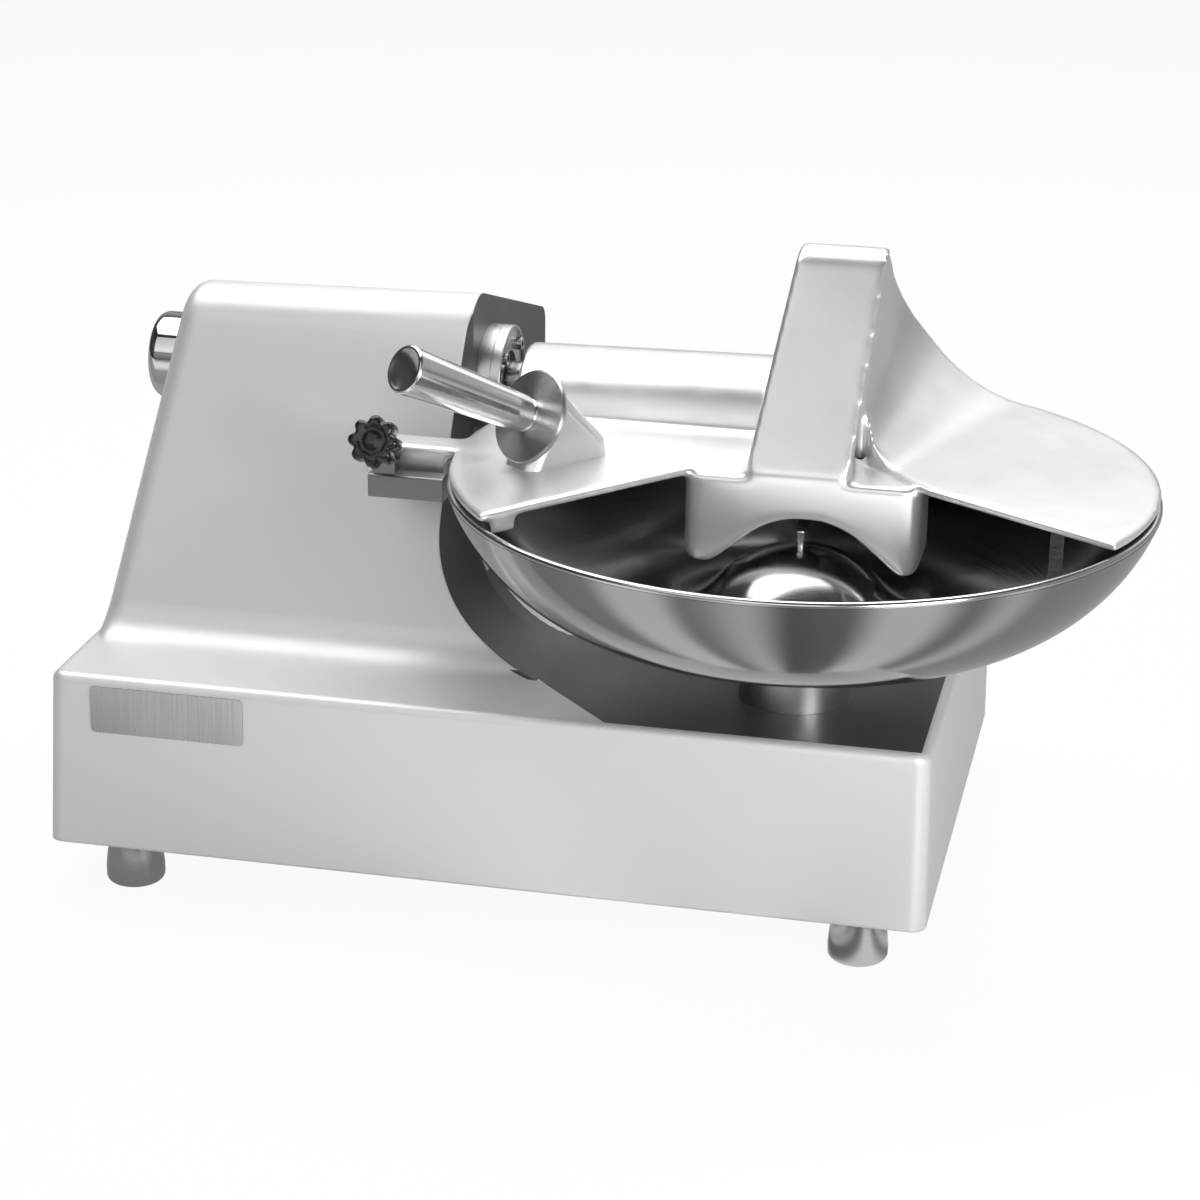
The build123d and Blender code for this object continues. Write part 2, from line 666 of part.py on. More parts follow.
with BuildPart() as bowl:
    with BuildSketch(bowl_plane):
        with BuildLine():
            apex, dome_end, wall_start, rim = bowl_curve(0)
            RadiusArc(apex, dome_end, cap_radius)
            RadiusArc(dome_end, wall_start, -floor_radius)
            RadiusArc(wall_start, rim, -wall_radius)
            out_apex, out_dome_end, out_wall_start, out_rim = bowl_curve(bowl_sheet)
            Line(rim, out_rim)
            RadiusArc(out_rim, out_wall_start, wall_radius + bowl_sheet)
            RadiusArc(out_wall_start, out_dome_end, floor_radius + bowl_sheet)
            RadiusArc(out_dome_end, out_apex, -(cap_radius - bowl_sheet))
            Line(out_apex, apex)
        make_face()
        with Locations((rim_radius - rim_bead, rim_z - 1)):
            Circle(rim_bead)
    revolve(axis=bowl_axis)
    bar_z(rim_z - 60, rim_z - 30, 3, bowl_x, bowl_y, Mode.SUBTRACT)
finish(bowl, "bowl")

hub_bottom = boss_top + 3
hub_radius = 28.0
dome_inside = cap_radius - bowl_sheet
with BuildPart() as bowl_hub:
    with BuildSketch(bowl_plane):
        with BuildLine():
            shoulder = cap_centre[1] + sqrt(dome_inside**2 - hub_radius**2)
            crown = cap_centre[1] + dome_inside
            Line((0, hub_bottom), (hub_radius, hub_bottom))
            Line((hub_radius, hub_bottom), (hub_radius, shoulder))
            RadiusArc((hub_radius, shoulder), (0, crown), -dome_inside)
            Line((0, crown), (0, hub_bottom))
        make_face()
    revolve(axis=bowl_axis)
    bar_z(hub_bottom - 1, crown - 12, spindle_radius, bowl_x, bowl_y, Mode.SUBTRACT)
    bar_z(crown - 13, crown + 1, 3, bowl_x, bowl_y, Mode.SUBTRACT)
finish(bowl_hub, "bowl_hub")

with BuildPart() as bowl_spindle:
    bar_z(case_bottom + 5, crown - 12, spindle_radius, bowl_x, bowl_y)
finish(bowl_spindle, "bowl_spindle")

stud_top = rim_z - 29
with BuildPart() as hub_stud:
    bar_z(crown - 12, stud_top, 3, bowl_x, bowl_y)
    bar_z(stud_top - 8, stud_top, 4, bowl_x, bowl_y)
    fillet(hub_stud.faces().sort_by(Axis.Z)[-1].edges(), radius=1.5)
finish(hub_stud, "hub_stud")

# ---------------------------------------------------------------- cover casting
cover_radius = rim_radius - 1
junction_radius = 6.0
lug_depth = 9.0
lug_length = 18.0
lug_sheet = 5.0
hood_foot_front = base_y - 122
hood_crown = (base_y - 50, plate_top + 128)
hood_fall = 0.242
hood_sheet = 5.0
hood_left_foot = base_x + 151
hood_left_crown = base_x + 169.5
hood_right_foot = base_x + 216
hood_right_crown = base_x + 226
hood_right_close = 0.1
fan_wall = base_x + 214
fan_root = 12.0
fan_opening = 34.0
fan_front_radius = 22.0
fan_back_radius = 99.0
fan_front_rise = 8.0
fan_back_rise = 30.0
fan_front_y = base_y - 118
fan_back_y = base_y + 113
hood_arc = (hood_crown[1] - hood_fall * (shaft_y - hood_crown[0]) - shaft_z) / hypot(1, hood_fall)


def hood_outline(inset, bottom):
    """Hood from the side: a leaning front, a falling top, and a back round the knives."""
    reach = hood_arc - inset
    norm = hypot(1, hood_fall)
    tangent = (shaft_y + reach * hood_fall / norm, shaft_z + reach / norm)
    lean_run = hood_crown[0] - hood_foot_front
    lean_rise = hood_crown[1] - plate_top
    lean = hypot(lean_run, lean_rise)
    foot_y = hood_foot_front + inset * lean / lean_rise
    foot_y += (bottom - plate_top) * lean_run / lean_rise if bottom > plate_top else 0
    top_run = (shaft_z + reach * norm) + hood_fall * shaft_y
    start_y = hood_foot_front + inset * lean / lean_rise
    slope = lean_rise / lean_run
    crown_at = (top_run - plate_top + slope * start_y) / (slope + hood_fall)
    crown_to = (crown_at, plate_top + slope * (crown_at - start_y))
    with BuildLine() as outline:
        FilletPolyline((foot_y, bottom), (start_y, plate_top), crown_to, tangent,
                       radius=(0, 18 - inset))
        turn = degrees(atan2(tangent[1] - shaft_z, tangent[0] - shaft_y))
        CenterArc((shaft_y, shaft_z), reach, 0, turn)
        Line((shaft_y + reach, shaft_z), (shaft_y + reach, bottom))
        Line((shaft_y + reach, bottom), (foot_y, bottom))
    make_face(outline.edges())


def hood_front(inset, bottom):
    """Hood from the front: both sides lean to the right as they rise."""
    rise = (bottom - plate_top) / 128
    left = hood_left_foot + rise * (hood_left_crown - hood_left_foot) + inset
    right = hood_right_foot + rise * (hood_right_crown - hood_right_foot) - inset
    with BuildLine() as outline:
        Polyline((left, bottom), (hood_left_crown + inset, hood_crown[1]),
                 (hood_right_crown - inset, hood_crown[1]), (right, bottom), close=True)
    make_face(outline.edges())


def fan_section(radius, rise, inset):
    """Section of the sweep from the hood's side down to the right plate."""
    centre = (fan_wall + radius, plate_top + radius)
    low = plate_bottom + 1 if not inset else plate_bottom - 8
    inner = fan_wall - (fan_opening if inset else fan_root)
    reach = radius + inset
    top = centre[1] + rise - inset
    with BuildLine() as outline:
        Line((inner, low), (inner, top))
        Line((inner, top), (centre[0] - reach, top))
        Line((centre[0] - reach, top), (centre[0] - reach, centre[1]))
        CenterArc(centre, reach, 180, 90)
        Line((centre[0], centre[1] - reach), (centre[0], low))
        Line((centre[0], low), (inner, low))
    make_face(outline.edges())


def fan_block(inset):
    """The right-hand sweep, trimmed by the hood's side outline and the cover's round."""
    with BuildPart() as made:
        with BuildSketch(Plane.XZ.offset(-(fan_front_y + inset))):
            fan_section(fan_front_radius, fan_front_rise, inset)
        with BuildSketch(Plane.XZ.offset(-(fan_back_y - inset))):
            fan_section(fan_back_radius, fan_back_rise, inset)
        loft(ruled=True)
        with BuildSketch(Plane.YZ.offset(fan_wall - fan_opening)):
            hood_outline(inset, plate_bottom - 8)
        extrude(amount=fan_opening + cover_radius, mode=Mode.INTERSECT)
        bar_z(plate_bottom - 10, hood_crown[1], cover_radius - inset, bowl_x, bowl_y,
              Mode.INTERSECT)
    return made.part


def hood_block(inset, bottom):
    """The knife hood, outside or inside."""
    with BuildPart() as made:
        with BuildSketch(Plane.XZ):
            hood_front(inset, bottom)
        extrude(amount=base_depth, both=True)
        with BuildSketch(Plane.YZ.offset(hood_left_foot - 20)):
            hood_outline(inset, bottom)
        extrude(amount=120, mode=Mode.INTERSECT)
        rise = Vector(hood_right_crown - hood_right_foot, hood_crown[0] - hood_foot_front,
                      hood_crown[1] - plate_top)
        back = Vector(-hood_right_close, 1, 0)
        split(bisect_by=Plane(origin=(hood_right_foot - inset, hood_foot_front, plate_top),
                              z_dir=back.cross(rise) * -1))
        if not inset:
            side_edges = made.faces().filter_by(GeomType.PLANE).sort_by(Axis.Y)[0].edges()
            fillet(side_edges.filter_by(lambda e: abs(e.tangent_at(0.5).Z) > 0.5), radius=7)
    return made.part


tunnel_left = base_x - 16
tunnel_right = hood_left_foot + 6
tunnel_radius = 47.0
tunnel_centre_z = shaft_z - 22


def tunnel_half(radius, grow):
    """Half-round cover of the shaft; its ridge rises a little towards the hood."""
    with BuildPart() as made:
        for x, rise in ((tunnel_left - grow, 0), (tunnel_right, 3)):
            with BuildSketch(Plane.YZ.offset(x)):
                with Locations((shaft_y, tunnel_centre_z + rise)):
                    Circle(radius)
        loft(ruled=True)
        split(bisect_by=Plane.XY.offset(plate_bottom + 1 - grow))
    return made.part


tunnel_outside = tunnel_half(tunnel_radius, 0)
tunnel_inside = tunnel_half(tunnel_radius - hood_sheet, 1)

comb_x = bowl_x + 1
comb_half = 73.0
comb_arch_x = bowl_x + 4.5
comb_bottom = plate_top - 59.6
comb_arch_top = plate_top - 28
comb_depth = 56.0
comb_front_sheet = 8.0
comb_leg_sheet = 10.0
comb_web = 6.0

with BuildPart() as comb:
    with BuildSketch(Plane.XY.offset(comb_bottom - 1)):
        with BuildLine():
            comb_back = hood_foot_front + comb_depth
            inner = comb_half - comb_leg_sheet
            inner_front = hood_foot_front + comb_front_sheet
            FilletPolyline(
                (comb_x - comb_half, comb_back), (comb_x - comb_half, hood_foot_front),
                (comb_x + comb_half, hood_foot_front), (comb_x + comb_half, comb_back),
                (comb_x + inner, comb_back), (comb_x + inner, inner_front),
                (comb_x - inner, inner_front), (comb_x - inner, comb_back),
                radius=(0, 11, 11, 0, 0, 3, 3, 0), close=True)
        make_face()
    extrude(amount=plate_bottom + 2 - comb_bottom)
    with BuildSketch(Plane.XZ.offset(-comb_back - 1)):
        with BuildLine():
            FilletPolyline(
                (comb_x - comb_half - 1, plate_bottom), (comb_x - comb_half, comb_bottom),
                (comb_arch_x - 58, comb_bottom), (comb_arch_x - 20.3, comb_arch_top),
                (comb_arch_x + 20.3, comb_arch_top), (comb_arch_x + 58, comb_bottom),
                (comb_x + comb_half, comb_bottom), (comb_x + comb_half + 1, plate_bottom),
                radius=(0, 9, 10, 53, 53, 10, 5, 0), close=True)
        make_face()
    extrude(amount=comb_depth + 2, mode=Mode.INTERSECT)
    with BuildSketch(Plane.XY.offset(plate_bottom - comb_web / 2)):
        with BuildLine():
            FilletPolyline(
                (comb_x - comb_half, comb_back), (comb_x - comb_half, hood_foot_front),
                (comb_x + comb_half, hood_foot_front), (comb_x + comb_half, comb_back),
                radius=(0, 11, 11, 0), close=True)
        make_face()
    extrude(amount=comb_web)
    top_edges = comb.faces().sort_by(Axis.Z)[-1].edges()
    fillet([e for e in top_edges if e.center().Y < comb_back - 1], radius=2.5)

hinge_y = base_y + 148
hinge_z = plate_bottom - 10
hinge_barrel_radius = 11.0
hinge_pin_radius = 6.0
hinge_barrel_half = 44.0
ear_left = base_x - 90
ear_front = base_y - 122
ear_back = base_y - 96
ear_tab = 6.0
tab_bottom = plate_bottom - 14.5

hood_outside = hood_block(0, plate_bottom)
hood_inside = hood_block(hood_sheet, plate_bottom - 12)
fan_outside = fan_block(0)
fan_inside = fan_block(hood_sheet)

with BuildPart() as cover_plan:
    with BuildSketch(Plane.XY.offset(plate_bottom)):
        with Locations((bowl_x, bowl_y)):
            Circle(cover_radius)
        with BuildLine():
            FilletPolyline(
                (base_x + 217, base_y - 60), (base_x + 222, base_y - 78),
                (base_x + 262, base_y - 124), (base_x + 410, base_y - 219),
                (base_x + 410, base_y - 400),
                (base_x - 60, base_y - 400), (base_x - 10, base_y - 273.7),
                (base_x + 145, base_y - 86), (base_x + 153, base_y - 60),
                radius=(0, 10, 40, 0, 0, 0, 0, 12, 0), close=True)
        make_face(mode=Mode.SUBTRACT)
    extrude(amount=hood_crown[1] - plate_bottom)

with BuildPart() as cover:
    with BuildSketch(Plane.XY.offset(plate_bottom - 40)):
        with Locations((bowl_x, bowl_y)):
            Circle(2 * cover_radius)
    extrude(amount=40 + plate_thickness)
    add(cover_plan.part, mode=Mode.INTERSECT)
    with BuildSketch(Plane.XY.offset(plate_bottom)):
        with Locations((bowl_x, (bowl_y + hinge_y) / 2 + 40)):
            Rectangle(2 * hinge_barrel_half, hinge_y - bowl_y - 80)
        with Locations(((ear_left + base_x) / 2, (ear_front + ear_back) / 2)):
            Rectangle(base_x - ear_left, ear_back - ear_front)
    extrude(amount=plate_thickness)
    add(hood_outside)
    add(fan_outside & cover_plan.part)
    add(tunnel_outside)
    add(comb.part)
    block((ear_left, base_x - 36), (ear_front, ear_front + ear_tab), (tab_bottom, plate_top))
    bar_x(bowl_x - hinge_barrel_half, bowl_x + hinge_barrel_half, hinge_barrel_radius,
          hinge_y, hinge_z)
    add(hood_inside, mode=Mode.SUBTRACT)
    add(fan_inside & (Pos(0, 7, -12) * cover_plan.part), mode=Mode.SUBTRACT)
    add(tunnel_inside, mode=Mode.SUBTRACT)
    block((tunnel_left - 1, hood_left_foot + 12), (shaft_y - 20, shaft_y + 20),
          (plate_bottom - 1, shaft_z + 20), Mode.SUBTRACT)
    bar_x(bowl_x - hinge_barrel_half, bowl_x + hinge_barrel_half,
          hinge_pin_radius + running_gap, hinge_y, hinge_z, Mode.SUBTRACT)
    on_plate = [e for e in cover.edges().filter_by(GeomType.CIRCLE, reverse=True)
                if abs(e.center().Z - plate_top) < 0.1 and e.length > 20
                and tunnel_left + 50 < e.center().X < hood_left_foot + 1
                and abs(e.center().Y - shaft_y) < 90]
    on_hood = [e for e in cover.edges().filter_by(GeomType.BSPLINE)
               if hood_left_foot < e.center().X < tunnel_right and e.length > 100]
    fillet(on_plate + on_hood, radius=junction_radius)
    with BuildSketch(Plane(origin=(base_x + 21.5, base_y - 235.5, plate_bottom + 1),
                           x_dir=(127.5, 154.4, 0), z_dir=(0, 0, -1))):
        with Locations((lug_length / 2, -lug_sheet / 2)):
            SlotOverall(lug_length, lug_sheet)
    extrude(amount=lug_depth + 1)
finish(cover, "cover")

# ---------------------------------------------------------------- hinge at the back
post_half = 9.0
with BuildPart() as hinge_posts:
    for side in (-1, 1):
        middle = bowl_x + side * (hinge_barrel_half + post_half + 1)
        with BuildSketch(Plane.YZ.offset(middle - post_half)):
            with BuildLine():
                Line((hinge_y - 22, base_top), (hinge_y + 22, base_top))
                Line((hinge_y + 22, base_top), (hinge_y + 13, hinge_z))
                CenterArc((hinge_y, hinge_z), 13, 0, 180)
                Line((hinge_y - 13, hinge_z), (hinge_y - 22, base_top))
            make_face()
            with Locations((hinge_y, hinge_z)):
                Circle(hinge_pin_radius, mode=Mode.SUBTRACT)
        extrude(amount=2 * post_half)
finish(hinge_posts, "hinge_posts")

pin_half = hinge_barrel_half + 2 * post_half + 2
with BuildPart() as hinge_pin:
    bar_x(bowl_x - pin_half, bowl_x + pin_half, hinge_pin_radius, hinge_y, hinge_z)
    chamfer(hinge_pin.edges(), length=0.8)
finish(hinge_pin, "hinge_pin")

# ---------------------------------------------------------------- bowl scraper
scraper_x = base_x + 345.5
scraper_y = base_y - 172
with BuildPart() as bowl_scraper:
    block((scraper_x - 4, scraper_x + 4), (scraper_y - 1.5, scraper_y + 1.5),
          (rim_z - 50, plate_bottom))
    fillet(bowl_scraper.edges().filter_by(Axis.Y).group_by(Axis.Z)[0], radius=3)
finish(bowl_scraper, "bowl_scraper")

# ---------------------------------------------------------------- handle of the cover
handle_axis = Vector(-0.554, -0.707, 0.438).normalized()
disc_centre = Vector(base_x + 20, base_y - 140, plate_top + 31)
disc_radius = 29.5
disc_sheet = 4.0
handle_length = 104.0
neck_radius = 10.5
grip_near_radius = 11.5
grip_end_radius = 15.0
handle_plane = Plane(origin=disc_centre, z_dir=handle_axis)

with BuildPart() as guard_disc:
    with BuildSketch(handle_plane.offset(-disc_sheet)):
        Circle(disc_radius)
    extrude(amount=disc_sheet)
    fillet(guard_disc.edges(), radius=0.8)
finish(guard_disc, "guard_disc")

with BuildPart() as handle_bar:
    with BuildSketch(handle_plane):
        Circle(neck_radius)
    extrude(amount=4)
    with BuildSketch(handle_plane.offset(4)):
        Circle(grip_near_radius)
    with BuildSketch(handle_plane.offset(handle_length)):
        Circle(grip_end_radius)
    loft()
    fillet(handle_bar.faces().sort_by(Axis(disc_centre, handle_axis))[-1].edges(), radius=1)
finish(handle_bar, "handle_bar")

block_length = 52.0
block_width = 30.0
plan_axis = Vector(handle_axis.X, handle_axis.Y, 0).normalized()
side_plane = Plane(origin=(disc_centre.X, disc_centre.Y, 0), x_dir=plan_axis,
                   z_dir=plan_axis.cross(Vector(0, 0, 1)))
with BuildPart() as handle_block:
    with BuildSketch(side_plane):
        back_slope = handle_axis.Z / hypot(handle_axis.X, handle_axis.Y)
        face_gap = disc_sheet / cos(atan2(back_slope, 1))
        foot_run = (disc_centre.Z - plate_top) * back_slope - face_gap
        crest = disc_centre.Z + 20
        with BuildLine():
            FilletPolyline(
                (foot_run, plate_top),
                (-face_gap - (crest - disc_centre.Z) * back_slope, crest),
                (-block_length, disc_centre.Z - 20),
                (-block_length - 2, plate_top),
                radius=(0, 3, 7, 0), close=True)
        make_face()
    extrude(amount=block_width / 2, both=True)
    rear = handle_block.faces().sort_by(Axis(disc_centre, plan_axis))[0]
    fillet([e for e in rear.edges() if abs(e.tangent_at(0.5).Z) > 0.5], radius=9)
finish(handle_block, "handle_block")

# ---------------------------------------------------------------- latch at the ear
screw_axis = Vector(0, -0.9, 0.436).normalized()
screw_tip = Vector(base_x - 72, ear_front - 3, plate_top - 3.5)
screw_plane = Plane(origin=screw_tip, x_dir=(1, 0, 0), z_dir=screw_axis)
screw_radius = 4.0
shelf_bottom = tab_bottom - 8.5
shelf_top = tab_bottom - 1
lip_top = tab_bottom + 6.5
lip_front = base_y - 141
lip_back = base_y - 128
shelf_left = base_x - 82
shelf_right = base_x - 34
knob_start = 30.0
knob_thickness = 15.0
knob_radius = 16.0
knob_lobes = 8

with BuildPart() as bracket_trim:
    with BuildSketch(Plane.YZ.offset(shelf_left - 1)):
        with BuildLine():
            Polyline((base_y - 150, shelf_bottom - 1),
                     (housing_foot_y + housing_lean * (shelf_bottom - 1 - base_top),
                      shelf_bottom - 1),
                     (housing_foot_y + housing_lean * (plate_top - base_top), plate_top),
                     (base_y - 150, plate_top), close=True)
        make_face()
    extrude(amount=shelf_right - shelf_left + 2)

with BuildPart() as latch_bracket:
    block((shelf_left, housing_end_x - 2), (lip_back - 1, base_y - 40), (shelf_bottom, shelf_top))
    add(bracket_trim.part, mode=Mode.INTERSECT)
    block((shelf_left, shelf_right), (lip_front, lip_back), (shelf_bottom, lip_top))
    fillet(latch_bracket.edges().filter_by(Axis.X).group_by(Axis.Y)[0], radius=1.5)
    with BuildSketch(screw_plane.offset(5)):
        Circle(9)
    extrude(amount=15)
    block((screw_tip.X - 7, screw_tip.X + 7), (lip_front + 2, lip_back), (lip_top - 3, lip_top + 12))
    with BuildSketch(screw_plane.offset(-4)):
        Circle(screw_radius + running_gap)
    extrude(amount=40, mode=Mode.SUBTRACT)
finish(latch_bracket, "latch_bracket")

with BuildPart() as clamp_screw:
    with BuildSketch(screw_plane):
        Circle(screw_radius)
    extrude(amount=knob_start + 6)
    with BuildSketch(screw_plane.offset(knob_start - 6)):
        Circle(8)
    extrude(amount=6)
finish(clamp_screw, "clamp_screw")

with BuildPart() as star_knob:
    with BuildSketch(screw_plane.offset(knob_start)):
        Circle(knob_radius - 3)
        with PolarLocations(knob_radius - 4, knob_lobes):
            Circle(4.2)
    extrude(amount=knob_thickness)
    fillet(star_knob.faces().sort_by(Axis(screw_tip, screw_axis))[-1].edges(), radius=1.5)
    with BuildSketch(screw_plane.offset(knob_start)):
        Circle(screw_radius)
    extrude(amount=6, mode=Mode.SUBTRACT)
finish(star_knob, "star_knob")

# ---------------------------------------------------------------- switches and inlet
button_radius = 8.0
button_depth = 12.0
with BuildPart() as switch_plate:
    with BuildSketch(switch_plane):
        RectangleRounded(84, 40, 5)
        with Locations((-button_apart / 2, 0), (button_apart / 2, 0)):
            Circle(button_radius + 0.5, mode=Mode.SUBTRACT)
    extrude(amount=1.5)
finish(switch_plate, "switch_plate")


def push_button(across):
    """Domed push button that stands proud of its plate."""
    with BuildSketch(switch_plane.offset(-button_depth)) as face:
        with Locations((across, 0)):
            Circle(button_radius)
    extrude(face.sketch, amount=button_depth + button_proud)


with BuildPart() as start_button:
    push_button(-button_apart / 2)
    fillet(start_button.faces().sort_by(Axis.X)[0].edges(), radius=1.5)
finish(start_button, "start_button")

with BuildPart() as stop_button:
    push_button(button_apart / 2)
    fillet(stop_button.faces().sort_by(Axis.X)[0].edges(), radius=1.5)
finish(stop_button, "stop_button")

with BuildPart() as cable_gland:
    bar_y(base_back - 12, base_back, 8, gland_x, gland_z)
    with BuildSketch(Plane.XZ.offset(-base_back)):
        with Locations((gland_x, gland_z)):
            RegularPolygon(12, 6)
    extrude(amount=-6)
    bar_y(base_back + 6, base_back + gland_reach, 9, gland_x, gland_z)
    fillet(cable_gland.faces().sort_by(Axis.Y)[-1].edges(), radius=2)
    bar_y(base_back - 13, base_back + gland_reach + 1, 4, gland_x, gland_z, Mode.SUBTRACT)
finish(cable_gland, "cable_gland")

print("origin to base centre", base_x, base_y, "shaft", shaft_z, "rim", rim_z)
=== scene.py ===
# %% [markdown]
# A table-top bowl cutter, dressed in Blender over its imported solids.
# The solids come in first as a fixed frame.  Everything after that gives them finishes, or
# stands a finer mesh where a turned, polished or moulded piece needs one.

# %% Load the frame
from math import asin, atan2, cos, degrees, hypot, pi, radians, sin, sqrt

import bmesh
import bpy
from mathutils import Matrix, Vector


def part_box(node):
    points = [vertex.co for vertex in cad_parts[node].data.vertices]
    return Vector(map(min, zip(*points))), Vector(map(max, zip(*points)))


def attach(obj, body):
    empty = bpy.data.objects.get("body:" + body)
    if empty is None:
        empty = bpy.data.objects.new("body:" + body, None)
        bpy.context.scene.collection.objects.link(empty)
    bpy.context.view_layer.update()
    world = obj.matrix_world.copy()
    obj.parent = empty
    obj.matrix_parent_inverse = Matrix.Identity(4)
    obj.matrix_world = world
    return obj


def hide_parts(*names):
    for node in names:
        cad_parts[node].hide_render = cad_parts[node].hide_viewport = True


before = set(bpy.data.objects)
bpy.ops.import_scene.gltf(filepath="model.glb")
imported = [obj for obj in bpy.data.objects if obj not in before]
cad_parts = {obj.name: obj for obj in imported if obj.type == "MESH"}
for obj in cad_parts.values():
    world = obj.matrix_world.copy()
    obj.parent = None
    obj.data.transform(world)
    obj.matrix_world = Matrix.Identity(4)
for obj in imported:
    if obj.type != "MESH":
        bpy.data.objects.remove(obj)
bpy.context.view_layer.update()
MM = 0.001

# %% [markdown]
# The camera stands in front of the machine, a little to its right, and looks down on it.
# Its matrix is built from a turn, a pitch and a small roll, so each can be read by itself.
# A long lens keeps the box-shaped base close to parallel, as in a catalogue picture.

# %% Camera
IMAGE_SIDE = 1200
FOCAL_PIXELS = 3126.5
SENSOR = 36.0
CAMERA_PLACE = Vector((0.3897, -1.8565, 0.8784))
CAMERA_TURN, CAMERA_PITCH, CAMERA_ROLL = radians(12.11), radians(19.91), radians(0.8355)

forward = Vector((-sin(CAMERA_TURN) * cos(CAMERA_PITCH),
                  cos(CAMERA_TURN) * cos(CAMERA_PITCH), -sin(CAMERA_PITCH)))
level = Vector((cos(CAMERA_TURN), sin(CAMERA_TURN), 0))
above = level.cross(forward)
side = cos(CAMERA_ROLL) * level + sin(CAMERA_ROLL) * above
up = -sin(CAMERA_ROLL) * level + cos(CAMERA_ROLL) * above

lens_data = bpy.data.cameras.new("camera")
lens_data.sensor_width = SENSOR
lens_data.lens = FOCAL_PIXELS / IMAGE_SIDE * SENSOR
lens_data.shift_x, lens_data.shift_y = 0.0006, -0.0067
camera = bpy.data.objects.new("camera", lens_data)
camera.matrix_world = Matrix((
    (side.x, up.x, -forward.x, CAMERA_PLACE.x),
    (side.y, up.y, -forward.y, CAMERA_PLACE.y),
    (side.z, up.z, -forward.z, CAMERA_PLACE.z),
    (0, 0, 0, 1)))
bpy.context.scene.collection.objects.link(camera)
bpy.context.scene.camera = camera
bpy.context.scene.view_settings.view_transform = "Standard"
print("lens", round(lens_data.lens, 1), "mm")

# %% [markdown]
# Polished metal shows the room, so the room is designed before any material.  It is made of
# two ramps that are multiplied: one from the floor up to the ceiling, one from left to right.
# The walls are brightest a little above the horizon, which lights the flat plates.  The
# ceiling is dark, which makes the inside of the bowl go deep and black.  The left wall is
# dark as well, and it gives the ends of the bar and the guard their deep tone.

# %% The room around the machine
ROOM_BANDS = [(0.0, 0.25), (0.50, 0.14), (0.60, 0.40), (0.72, 0.42), (0.80, 0.20), (0.88, 0.06),
              (1.0, 0.04)]
SIDE_BANDS = [(0.0, 0.12), (0.12, 0.16), (0.32, 0.9), (0.7, 1.0), (1.0, 0.9)]


def add_node(tree, kind, **settings):
    """New node of a tree, with its settings."""
    made = tree.nodes.new(kind)
    for key, value in settings.items():
        setattr(made, key, value)
    return made


def add_ramp(tree, value, stops, interpolation="LINEAR"):
    """Ramp of greys over value, from stops of (place, shade)."""
    made = add_node(tree, "ShaderNodeValToRGB")
    made.color_ramp.interpolation = interpolation
    while len(made.color_ramp.elements) < len(stops):
        made.color_ramp.elements.new(0.5)
    for stop, (place, shade) in zip(made.color_ramp.elements, stops):
        stop.position = place
        stop.color = (shade, shade, shade, 1)
    tree.links.new(value, made.inputs["Fac"])
    return made.outputs["Color"]


def map_range(tree, value, low, high):
    """Maps low to high onto 0 to 1."""
    made = add_node(tree, "ShaderNodeMapRange")
    made.inputs["From Min"].default_value = low
    made.inputs["From Max"].default_value = high
    tree.links.new(value, made.inputs["Value"])
    return made.outputs["Result"]


world = bpy.data.worlds.new("studio")
world.use_nodes = True
bpy.context.scene.world = world
room = world.node_tree
room.nodes.clear()
direction = add_node(room, "ShaderNodeSeparateXYZ")
room.links.new(add_node(room, "ShaderNodeTexCoord").outputs["Generated"], direction.inputs[0])
room_shade = add_node(room, "ShaderNodeVectorMath", operation="MULTIPLY")
for socket, (axis, stops) in zip(room_shade.inputs, (("Z", ROOM_BANDS), ("X", SIDE_BANDS))):
    place_on_axis = map_range(room, direction.outputs[axis], -1, 1)
    room.links.new(add_ramp(room, place_on_axis, stops), socket)
sky = add_node(room, "ShaderNodeBackground")
room_out = add_node(room, "ShaderNodeOutputWorld")
room.links.new(room_shade.outputs[0], sky.inputs["Color"])
room.links.new(sky.outputs[0], room_out.inputs["Surface"])
print("room bands:", len(ROOM_BANDS), "by", len(SIDE_BANDS))

# %% [markdown]
# The lamps are soft boxes.  The near one stands at the front right, so the pale casting runs
# from bright on the right to grey on the left.  A large one in front fills what the near one
# leaves dark.  One overhead lifts everything that faces up.  A wide weak one high on the left
# is what the leaning fronts reflect, and a long weak one behind the machine does the same for
# the flat tops.

# %% Soft boxes
def soft_box(name, place, target, size, power):
    """Rectangular lamp at place that faces target; size is (width, height) in metres."""
    lamp = bpy.data.lights.new(name, "AREA")
    lamp.shape = "RECTANGLE"
    lamp.size, lamp.size_y = size
    lamp.energy = power
    box = bpy.data.objects.new(name, lamp)
    box.location = place
    box.rotation_euler = (Vector(target) - Vector(place)).to_track_quat("-Z", "Y").to_euler()
    bpy.context.scene.collection.objects.link(box)


MIDDLE = Vector((0, 0, 0.2))
soft_box("near_box", (0.60, -0.62, 0.40), MIDDLE, (0.3, 0.3), 3.6)
soft_box("front_box", (0.25, -2.3, 1.3), MIDDLE, (1.2, 1.2), 5)
soft_box("left_box", (-0.9, -1.9, 1.8), MIDDLE, (1.6, 1.6), 6)
soft_box("top_box", (-0.4, 0.7, 2.2), MIDDLE, (3.0, 2.0), 62)
soft_box("back_box", (0.2, 2.6, 1.5), MIDDLE, (3.0, 0.8), 6)

# %% [markdown]
# The floor is a pale sheet.  To the camera it is lifted most of the way to plain white, and
# what is left of its own shading is the soft shadow under the machine.  Light Path tells the
# kinds of ray apart, so the lift adds no light to matt surfaces.

# %% Floor
FLOOR_HALF = 40.0
FLOOR_PAINT = 0.9
FLOOR_LIFT = 0.93

